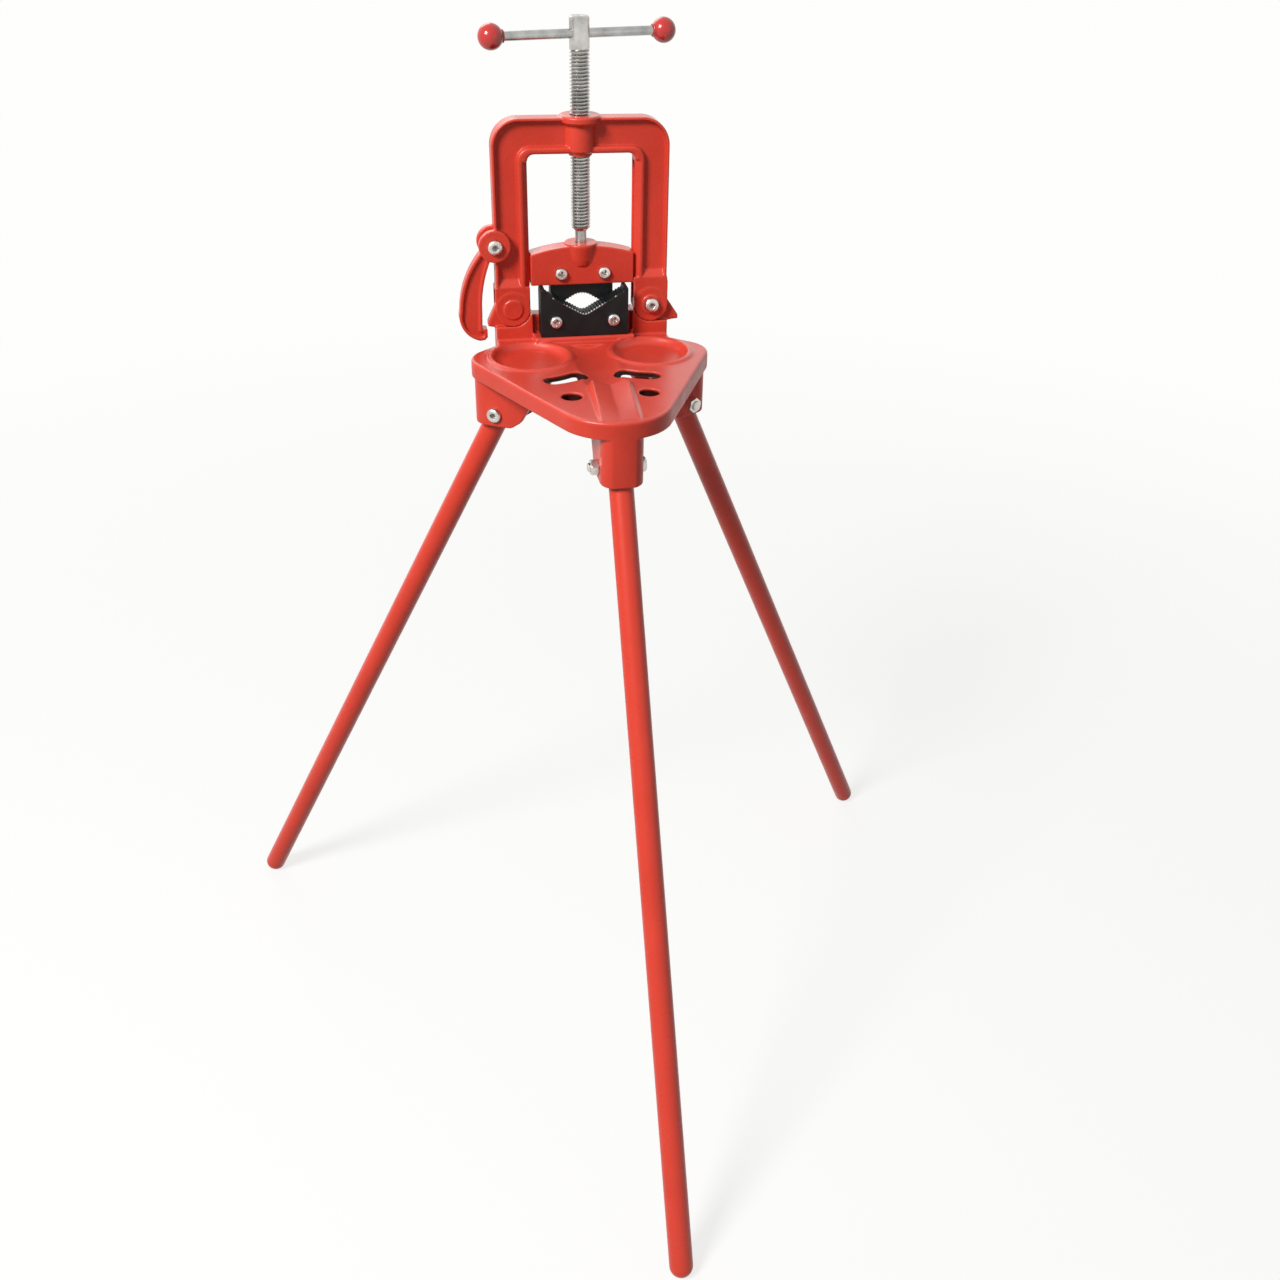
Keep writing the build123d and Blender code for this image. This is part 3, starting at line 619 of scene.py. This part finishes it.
def pointing(grid, origin, axis, spin=0.0):
    """Turn a grid's +Z to the axis, spin the grid about that and move it to the origin."""
    axis = Vector(axis).normalized()
    spun = Matrix.Rotation(math.radians(spin), 3, "Z")
    turn = axis.to_track_quat("Z", "Y").to_matrix() @ spun
    return grid @ np.array(turn).T + np.asarray(origin, float)


print("a softened corner has", len(soften([(0, 0), (1, 0), (1, 1)], 0.1)) - 2, "points")

# %% [markdown]
# ## Castings
# Four pieces are sand castings: the stand's top, the yoke, the latch hook and the
# crosshead. Their solids have the right shape but knife edges. A real casting has soft
# edges everywhere, outside and in. Working out such blends with formulas would be long
# work, so a copy of each solid is welded, rebuilt from small cubes (a voxel remesh) and
# then sanded: smoothing moves each point towards its neighbours, which rounds corners
# and fills inner angles just as draft and fettling do. The two large castings end with
# more faces than their shape needs, so a decimate modifier thins those.

# %% Soft castings
SOLID_WELD = 1e-5
SANDING = 0.5


def cast_skin(name, node, body, voxel, passes, keep):
    """A solid made a casting: welded, remeshed with cubes of `voxel` mm, and smoothed.

    `passes` says how often it is smoothed, and `keep` which share of its faces stays.
    """
    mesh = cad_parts[node].data.copy()
    work = bmesh.new()
    work.from_mesh(mesh)
    bmesh.ops.remove_doubles(work, verts=work.verts, dist=SOLID_WELD)
    work.to_mesh(mesh)
    work.free()
    rough = linked(name + "_rough", mesh)
    remesh = rough.modifiers.new("cubes", "REMESH")
    remesh.mode = "VOXEL"
    remesh.voxel_size = voxel * MM
    sand = rough.modifiers.new("sanding", "SMOOTH")
    sand.factor = SANDING
    sand.iterations = passes
    if keep < 1.0:
        rough.modifiers.new("thinning", "DECIMATE").ratio = keep
    seen = rough.evaluated_get(bpy.context.evaluated_depsgraph_get())
    skin = bpy.data.meshes.new_from_object(seen)
    bpy.data.objects.remove(rough)
    skin.name = name
    skin.polygons.foreach_set("use_smooth", np.ones(len(skin.polygons), bool))
    return new_piece(name, skin, cast_red, body, node)


stand_skin = cast_skin("stand_casting", "base_casting", "stand", voxel=0.9, passes=5, keep=0.38)
cast_skin("yoke_casting", "yoke_frame", "yoke", voxel=0.7, passes=5, keep=0.6)
cast_skin("hook_casting", "latch_hook", "latch", voxel=0.5, passes=4, keep=1.0)
cast_skin("crosshead_casting", "crosshead", "crosshead", voxel=0.6, passes=4, keep=1.0)

# %% [markdown]
# ## Walls of the stand's slots and holes
# The walls of the two curved slots and the two round holes lie in shade, and that shade
# is painted: they get a dark colour. They could have a material of their own, but then a
# hard line would run round each mouth. A number on every point fades instead. A slot is a
# band along an arc, so a point's distance to its wall is its distance to the nearest point
# of that arc, less half the slot's width. Left and right are alike, so the left is folded over.

# %% Painted shade on those walls
# Painted shade on the walls of slots and holes: it starts a little below the deck and fades in over
# a short depth.
SLOT_CENTRE, SLOT_ARC_R, SLOT_HALF = (57.0, -57.0), 63.5, 9.2
SLOT_ENDS = (-123.5, -101.5)
HOLE_AT, HOLE_R = (34.5, -160.0), 9.2
DECK_Z = 49.0
WALL_BAND, SHADE_FROM, SHADE_FADE = 1.0, 0.6, 2.0


def in_head(mesh):
    """Points of a mesh in millimetres of the head: times a thousand, less where it stands."""
    points = np.empty(len(mesh.vertices) * 3)
    mesh.vertices.foreach_get("co", points)
    return points.reshape(-1, 3) / MM - HEAD_AT


def set_mask(mesh, name, values):
    """Give every point a number that a material reads by this name."""
    layer = mesh.attributes.new(name, "FLOAT", "POINT")
    layer.data.foreach_set("value", values.astype(np.float32))


def shade_in_openings(piece):
    """Painted shade = (depth below the deck - start) / fade, held from 0 to 1, with both set above.

    It lies no further than WALL_BAND outside a slot's or a hole's wall.
    """
    x, y, z = in_head(piece.data).T
    x = np.abs(x)
    from_hole = np.hypot(x - HOLE_AT[0], y - HOLE_AT[1]) - HOLE_R
    dx, dy = x - SLOT_CENTRE[0], y - SLOT_CENTRE[1]
    low, high = np.radians(SLOT_ENDS)
    turn = np.clip(np.arctan2(dy, dx), low, high)
    nearest = SLOT_ARC_R * np.stack([np.cos(turn), np.sin(turn)])
    from_slot = np.hypot(dx - nearest[0], dy - nearest[1]) - SLOT_HALF
    inside = np.minimum(from_hole, from_slot) < WALL_BAND
    # Painted shade: 1 on the walls, once deep enough below the deck.
    wall_shade = inside * np.clip((DECK_Z - SHADE_FROM - z) / SHADE_FADE, 0.0, 1.0)
    set_mask(piece.data, "wall_shade", wall_shade)
    print(piece.name, "has soot on", int((wall_shade > 0.5).sum()), "points")


# The stand's casting gets the painted shade of its slots and holes.
shade_in_openings(stand_skin)

# %% [markdown]
# ## Legs
# Each leg is a steel tube with a domed foot, turned about its own axis and then leaned
# out by the splay angle. The top end is open and shows the tube's wall.

# %% Legs
SPLAY = 27.0
PIVOT_RADIUS = 98.0
TRIPOD_Y = -105.0
TUBE_R, TUBE_WALL = 11.0, 2.0
LEG_TOP, LEG_REACH, BORE_DEPTH = 15.0, 728.0, 50.0
LEG_AZIMUTHS = {"front": -90.0, "left": 150.0, "right": 30.0}


def leg_frame(azimuth, points):
    """Points drawn with X outwards from the middle of the legs, Y across a socket and Z up."""
    turn = np.array(Matrix.Rotation(math.radians(azimuth), 3, "Z"))
    return points @ turn.T + (0.0, TRIPOD_Y, 0.0)


def leg_profile():
    """Up the bore, over the rim, down the tube and round the dome of the foot."""
    bore, floor_z = TUBE_R - TUBE_WALL, LEG_TOP - BORE_DEPTH
    mouth = [(0, floor_z), (bore, floor_z), (bore, LEG_TOP), (TUBE_R, LEG_TOP),
             (TUBE_R, LEG_TOP - 8)]
    run = np.stack([np.full(24, TUBE_R), np.linspace(LEG_TOP - 10, -LEG_REACH, 24)], -1)
    dome = arc(TUBE_R, 0, -90, 14, centre=(0.0, -LEG_REACH))
    return np.concatenate([soften(mouth, SMALL_ROUND), run, dome])


for side, azimuth in LEG_AZIMUTHS.items():
    lean = np.array(Matrix.Rotation(-math.radians(SPLAY), 3, "Y"))
    tube = turned_grid(leg_profile(), 64) @ lean.T + (PIVOT_RADIUS, 0.0, 0.0)
    shell_piece(side + "_tube", [grid_shell(leg_frame(azimuth, tube))], tube_red,
                side + "_leg", side + "_leg", sharp_degrees=60.0)

# %% [markdown]
# ## Screws and nuts
# Wide screws hold the joints: they have a low domed head with a hexagonal socket. The
# jaws are held by pan heads with a cross recess. A nut is a hexagon whose corners are
# turned off by a cone, so its radius is the smaller of the two at every height.

# %% Radii that are not round


def hexagon(angle, flats):
    """Half the width over flats / the cosine of the angle from the nearest flat's middle."""
    fold = np.mod(angle + math.pi / 6, math.pi / 3) - math.pi / 6
    return 0.5 * flats / np.cos(fold)


def cross(angle, length, half_width):
    """Four arms: the nearer of the arm's end and its side, seen from the middle."""
    fold = np.mod(angle + math.pi / 4, math.pi / 2) - math.pi / 4
    side = half_width / np.maximum(np.abs(np.sin(fold)), TINY)
    return np.minimum(length / np.cos(fold), side)


def shaped_grid(rows, sides=96):
    """Rows of (shape, size, height), where the shape gives the radius at each angle."""
    a = np.linspace(0, 2 * math.pi, sides, endpoint=False)
    radius = {"round": lambda size: size + 0 * a, "hex": lambda size: hexagon(a, size),
              "cross": lambda size: cross(a, *size)}
    r = np.stack([radius[shape](size) for shape, size, height in rows])
    h = np.array([height for shape, size, height in rows])[:, None]
    return np.stack([r * np.cos(a), r * np.sin(a), h + 0 * a], -1)


nut_corner = hexagon(np.array([math.pi / 6]), 13.0)[0]
print("hexagon corner radius of a 13 mm nut:", round(float(nut_corner), 2))

# %% Button screws, nuts and pan screws
NUT_FLATS, NUT_HEIGHT, PAST_NUT = 13.0, 6.8, 2.5
CONE_R, CONE_SLOPE = 6.3, 1.73
BUTTON_R, BUTTON_H, BUTTON_SHANK = 7.0, 4.6, 4.0
PAN_R, PAN_H, PAN_SHANK = 6.0, 4.0, 3.0
RECESS_FLOOR = 1.5
DOME_STEPS = 8


def domed_rows(inner, outer, foot, height):
    """Rows of a dome: radius and height follow a quarter ellipse from its inner edge to the rim."""
    a = np.linspace(0, math.pi / 2, DOME_STEPS)
    r = inner + (outer - inner) * np.sin(a)
    h = foot + (height - foot) * np.cos(a)
    return [("round", float(x), float(z)) for x, z in zip(r, h)]


def button_screw(grip):
    """Socket, dome and shank of a screw that reaches through the grip and its nut."""
    tip = -(grip + NUT_HEIGHT + PAST_NUT)
    rows = [("round", 0.0, RECESS_FLOOR), ("hex", 4.9, 2.0), ("hex", 5.0, BUTTON_H - 0.4),
            ("hex", 5.7, BUTTON_H)]
    rows += domed_rows(4.1, BUTTON_R, 1.5, BUTTON_H)
    rows += [("round", BUTTON_R, 0.4), ("round", BUTTON_R - 0.4, 0.0)]
    rows += [("round", BUTTON_SHANK, 0.0), ("round", BUTTON_SHANK, tip + 0.9)]
    rows += [("round", BUTTON_SHANK - 0.8, tip), ("round", 0.0, tip)]
    return shaped_grid(rows)


def hex_nut(grip):
    """Hexagon with both faces chamfered by a cone, and a countersunk hole that the screw fills."""
    a = np.linspace(0, 2 * math.pi, 96, endpoint=False)
    rise = np.array([0.0, 0.25, 0.5, 0.75, 1.0])
    z = np.concatenate([rise, NUT_HEIGHT - rise[::-1]])
    cone = CONE_R + CONE_SLOPE * np.minimum(z, NUT_HEIGHT - z)
    outside = np.minimum(hexagon(a, NUT_FLATS)[None, :], cone[:, None])
    rings = np.array([(BUTTON_SHANK, 0.6), (BUTTON_SHANK + 0.6, 0.0)])
    inside = rings[:, 0, None] + 0 * a[None, :]
    r = np.concatenate([inside, outside, inside[::-1], inside[:1]])
    z = np.concatenate([rings[:, 1], z, NUT_HEIGHT - rings[::-1, 1], rings[:1, 1]])[:, None]
    return np.stack([r * np.cos(a), r * np.sin(a), z - grip - NUT_HEIGHT + 0 * a], -1)


def pan_screw(length):
    """Cross recess, dome and shank of a jaw's screw."""
    rows = [("round", 0.0, RECESS_FLOOR), ("cross", (1.3, 0.55), 1.8),
            ("cross", (3.1, 0.75), PAN_H - 0.5), ("cross", (3.3, 0.9), PAN_H - 0.15)]
    rows += domed_rows(3.7, PAN_R, 1.2, PAN_H - 0.1)
    rows += [("round", PAN_R, 0.3), ("round", PAN_R - 0.3, 0.0), ("round", PAN_SHANK, 0.0)]
    rows += [("round", PAN_SHANK, -length), ("round", 0.0, -length)]
    return shaped_grid(rows, 120)


print("rows of a button screw:", len(button_screw(20.0)), "and of a nut:", len(hex_nut(20.0)))

# %% [markdown]
# ## Screws in their places
# The legs' screws lie across their sockets, those of the hinge and the latch point
# backwards, and the jaws' screws sit in pairs. Each is turned a little about its own
# axis, because nobody lines up sockets and recesses.

# %% Leg, hinge, latch and jaw screws
LEG_GRIP = 38.0
LEG_SPIN, JOINT_SPIN, JAW_SPINS = 12.0, 20.0, {-1: -10.0, 1: 70.0}
JOINTS = {
    "hinge": {"x": 66.5, "z": 79.0, "grip": 22.6},
    "latch": {"x": -82.0, "z": 139.6, "grip": 26.0},
}
JAW_SCREWS = {
    "lower": {"x": 27.6, "z": 69.6, "face": -22.0, "length": 29.0, "body": "stand"},
    "upper": {"x": 20.5, "z": 111.6, "face": -9.8, "length": 15.1, "body": "crosshead"},
}
LABELS = {"bolt": "screw", "nut": "hexnut"}

for side, azimuth in LEG_AZIMUTHS.items():
    for kind, grid in (("bolt", button_screw(LEG_GRIP)), ("nut", hex_nut(LEG_GRIP))):
        level = pointing(grid, (PIVOT_RADIUS, LEG_GRIP / 2, 0), (0, 1, 0), LEG_SPIN)
        shell_piece(side + "_leg_" + LABELS[kind], [grid_shell(leg_frame(azimuth, level))],
                    plated_steel, "stand", side + "_leg_" + kind)

for joint, at in JOINTS.items():
    for kind, grid in (("bolt", button_screw(at["grip"])), ("nut", hex_nut(at["grip"]))):
        level = pointing(grid, (at["x"], -at["grip"] / 2, at["z"]), (0, -1, 0), JOINT_SPIN)
        shell_piece(joint + "_" + LABELS[kind], [grid_shell(level)], plated_steel,
                    "yoke", joint + "_" + kind)

for jaw, at in JAW_SCREWS.items():
    grid = pan_screw(at["length"])
    pair = [grid_shell(pointing(grid, (s * at["x"], at["face"], at["z"]), (0, -1, 0), spin))
            for s, spin in JAW_SPINS.items()]
    shell_piece(jaw + "_jaw_pan_screws", pair, plated_steel, at["body"],
                jaw + "_jaw_screws")

# %% [markdown]
# ## Jaws
# Each jaw is a flat block with a notch. The notch is a V with a rounded bottom, and its
# faces carry teeth that run along the pipe. Seen from the front, the edge of the notch
# is therefore a zigzag: every second point is dropped into the metal by the tooth's
# depth. The block is the outline carried backwards, drawn in a little at both faces.
# The finish wears where pipes rub, so the rims of the teeth are marked as bare near the
# middle, and a tooth or two further out.

# %% Outlines of the jaws
TOOTH_STEP, TOOTH_DEPTH = 1.3, 1.1
JAW_ANGLE = math.radians(30.0)


def notch(half, apex, radius, up):
    """Points (x, z) of a V with a round bottom, and a wear that is 1 on tips, 0 on roots.

    z = apex + |x| tan(JAW_ANGLE), or the circle's arc near the middle, and upside down
    where up is -1. Every second point lies TOOTH_DEPTH deeper in the metal.
    """
    count = 2 * int(round(half / TOOTH_STEP)) + 1
    x = np.linspace(-half, half, count)
    flat = np.abs(x) * math.tan(JAW_ANGLE)
    centre = radius / math.cos(JAW_ANGLE)
    bowl = centre - np.sqrt(np.maximum(radius**2 - x**2, 0.0))
    rise = np.where(np.abs(x) < radius * math.sin(JAW_ANGLE), bowl, flat)
    tooth = np.where(np.arange(count) % 2 == 0, 0.0, TOOTH_DEPTH)
    return np.stack([x, apex + up * (rise - tooth)], -1), 1.0 - tooth / TOOTH_DEPTH


def inset(outline, by):
    """Move each point of a closed outline inwards along the mean of its two sides' normals."""
    ahead = np.roll(outline, -1, axis=0) - outline
    ahead /= np.maximum(np.linalg.norm(ahead, axis=1), TINY)[:, None]
    mean = ahead + np.roll(ahead, 1, axis=0)
    mean /= np.maximum(np.linalg.norm(mean, axis=1), TINY)[:, None]
    turn = 1.0 if np.cross(outline, np.roll(outline, -1, axis=0)).sum() > 0 else -1.0
    return outline + by * turn * np.stack([-mean[:, 1], mean[:, 0]], -1)


print("teeth across the lower jaw:", len(notch(37.6, 75.6, 8.0, 1.0)[0]) // 2)

# %% Worn blocks
JAW_EDGE, RIM_BAND = 0.5, 0.7
RIM_REACH = 1.2 * JAW_EDGE
WEAR_FADE = 4.0
STRAY_AT, STRAY_HALF, STRAY_WEAR = 9.0, 1.6, 0.8
JAW_SHARP = 25.0


def block_shell(outline, front, rear):
    """An outline carried from front to rear along Y, drawn in at both faces, with flat ends."""
    drawn_in, rim = inset(outline, JAW_EDGE), JAW_EDGE + RIM_BAND
    rows = [(drawn_in, front), (outline, front + JAW_EDGE), (outline, front + rim),
            (outline, rear - rim), (outline, rear - JAW_EDGE), (drawn_in, rear)]
    grid = np.stack([np.stack([o[:, 0], np.full(len(o), y), o[:, 1]], -1) for o, y in rows])
    count, last = len(outline), len(rows) - 1
    return with_caps(grid_shell(grid), range(count), range(last * count, (last + 1) * count))


def jaw_piece(name, toothed, corners, front, rear, reach, body, stands_for):
    """A block with a mask named bare, which is 1 on the worn rims of its teeth.

    Each point takes the wear of the outline's nearest point, if it lies on a rim. The wear
    fades out before `reach`, and comes back faintly STRAY_AT beyond it.
    """
    teeth, wear = toothed
    outline = np.concatenate([teeth, corners])
    wear = np.tile(np.concatenate([wear, np.zeros(len(corners))]), 2)
    piece = shell_piece(name, [block_shell(outline, front, rear)], jaw_black, body,
                        stands_for, JAW_SHARP)
    points = in_head(piece.data)
    both = np.concatenate([outline, inset(outline, JAW_EDGE)])
    nearest = np.argmin(np.linalg.norm(points[:, None, ::2] - both[None], axis=-1), axis=1)
    depth = np.minimum(np.abs(points[:, 1] - front), np.abs(points[:, 1] - rear))
    beyond = np.abs(points[:, 0]) - reach
    stray = np.abs(beyond - STRAY_AT) < STRAY_HALF
    rubbed = np.clip(-beyond / WEAR_FADE, 0.0, 1.0) + STRAY_WEAR * stray
    set_mask(piece.data, "bare", wear[nearest] * (depth < RIM_REACH) * rubbed)


LOWER_CORNERS = [(37.8, 100.5), (42.0, 100.5), (42.0, 54.5), (-42.0, 54.5), (-42.0, 100.5),
                 (-37.8, 100.5)]
LOWER_CUTS = (0.4, 2.6, 0.8, 0.8, 2.6, 0.4)
UPPER_CORNERS = [(30.0, 77.9), (30.0, 115.5), (-30.0, 115.5), (-30.0, 77.9)]
jaw_piece("lower_jaw_block", notch(half=37.6, apex=75.6, radius=8.0, up=1.0),
          soften(LOWER_CORNERS, LOWER_CUTS), front=-22.0, rear=-4.5, reach=21.0,
          body="stand", stands_for="lower_jaw")
jaw_piece("upper_jaw_plate", notch(half=26.0, apex=92.9, radius=17.0, up=-1.0),
          soften(UPPER_CORNERS, 0.6), front=-3.7, rear=9.3, reach=12.0,
          body="crosshead", stands_for="upper_jaw")

# %% [markdown]
# ## The threaded screw
# A trapezoidal thread is a ridge that climbs one pitch per turn. Rows of the grid follow
# that climb: each row is one point of the ridge's profile, and its height grows with the
# angle, so crests and roots stay crisp with few faces. After a full turn a row meets the
# row one pitch above it, and welding joins them. Heights are held between the thread's
# two ends, where a cone cuts the ridge off. Neck and head are plain turned rows that
# share the same angles, so everything welds into one closed skin.

# %% Threaded screw
PITCH = 3.0
CREST, ROOT, NECK, GROOVE = 9.0, 7.1, 5.3, 3.9
THREAD_FROM, THREAD_TO = 150.0, 308.5
NECK_FOOT, GROOVE_FROM, GROOVE_TO = 120.05, 124.35, 129.65
CONE_FOOT = NECK + 0.6
HEAD_TOP = 335.0
SCREW_SIDES = 60


def thread_grid():
    """Row i at angle a: height = start_i + pitch a / 2 pi, and radius = the ridge's profile.

    A 45 degree cone cuts the ridge off at the foot, and it fades out at the top.
    """
    share = np.array([0.0, 0.04, 0.34, 0.38, 0.52, 0.56, 0.84, 0.88])
    depth = np.array([0.12, 0.0, 0.0, 0.12, 0.92, 1.0, 1.0, 0.92])
    turns = int((THREAD_TO - THREAD_FROM) / PITCH) + 3
    start = (np.arange(turns)[:, None] + share[None, :]).ravel() * PITCH + THREAD_FROM - PITCH
    sunk = np.tile(depth, turns)
    a = np.linspace(0, 2 * math.pi, SCREW_SIDES + 1)
    z = start[:, None] + PITCH * a[None, :] / (2 * math.pi)
    height = np.clip(z, THREAD_FROM, THREAD_TO)
    fade = np.clip((THREAD_TO - height) / PITCH, 0.0, 1.0)
    r = CREST - (CREST - ROOT) * sunk[:, None] * fade
    r = np.minimum(r, CONE_FOOT + (height - THREAD_FROM))
    return np.stack([r * np.cos(a), r * np.sin(a), height], -1)


neck = [(0.0, NECK_FOOT), (NECK - 1.0, NECK_FOOT), (NECK, 121.0), (NECK, GROOVE_FROM),
        (GROOVE, GROOVE_FROM), (GROOVE, GROOVE_TO), (NECK, GROOVE_TO), (NECK, THREAD_FROM),
        (CONE_FOOT, THREAD_FROM)]
head = [(CREST, THREAD_TO), (CREST, 320.0), (CREST, HEAD_TOP - 1.2), (CREST - 1.2, HEAD_TOP),
        (2.4, HEAD_TOP), (0.0, 332.8)]
parts = [grid_shell(turned_grid(neck, SCREW_SIDES)), grid_shell(thread_grid(), around=False),
         grid_shell(turned_grid(head, SCREW_SIDES))]
shell_piece("threaded_spindle", parts, turned_steel, "spindle", "spindle", 30.0)

# %% [markdown]
# ## Handle
# The bar slides through the screw's head, and a plastic ball sits on each end. A ball is
# a turned arc with a short collar round the bar.

# %% Bar and balls
BAR_Z, BAR_R, BAR_HALF, BAR_AZIMUTH = 320.6, 4.0, 78.0, math.radians(14.0)
BALL_R, BALL_AT, BALL_FROM = 11.0, 82.0, -9.4
COLLAR_R, COLLAR_FOOT, COLLAR_TOP = 5.6, -11.2, -9.5
bar_axis = (math.cos(BAR_AZIMUTH), math.sin(BAR_AZIMUTH), 0.0)

bar_profile = soften([(0, -BAR_HALF), (BAR_R, -BAR_HALF), (BAR_R, 0), (BAR_R, BAR_HALF),
                      (0, BAR_HALF)], SMALL_ROUND)
bar = pointing(turned_grid(bar_profile, 48), (0, 0, BAR_Z), bar_axis)
shell_piece("sliding_bar", [grid_shell(bar)], bar_steel, "handle", "handle_bar")

collar = soften([(0, COLLAR_FOOT), (COLLAR_R, COLLAR_FOOT), (COLLAR_R, COLLAR_TOP)], SMALL_ROUND)
ball_start = math.degrees(math.asin(BALL_FROM / BALL_R))
ball = np.concatenate([collar, arc(BALL_R, ball_start, 90, 30)])
for side, sign in (("left", -1), ("right", 1)):
    axis = tuple(sign * v for v in bar_axis)
    centre = (axis[0] * BALL_AT, axis[1] * BALL_AT, BAR_Z)
    shell_piece(side + "_ball", [grid_shell(pointing(turned_grid(ball, 64), centre, axis))],
                ball_red, "handle", side + "_knob", 45.0)

# %% [markdown]
# ## What stays as it is
# The two pins that hold the screw's neck show only as small ends at the back, so their
# solids stay and just get the plated finish.

# %% Pins
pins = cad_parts["spindle_pins"]
pins.data.materials.clear()
pins.data.materials.append(plated_steel)
print("kept:", pins.name)
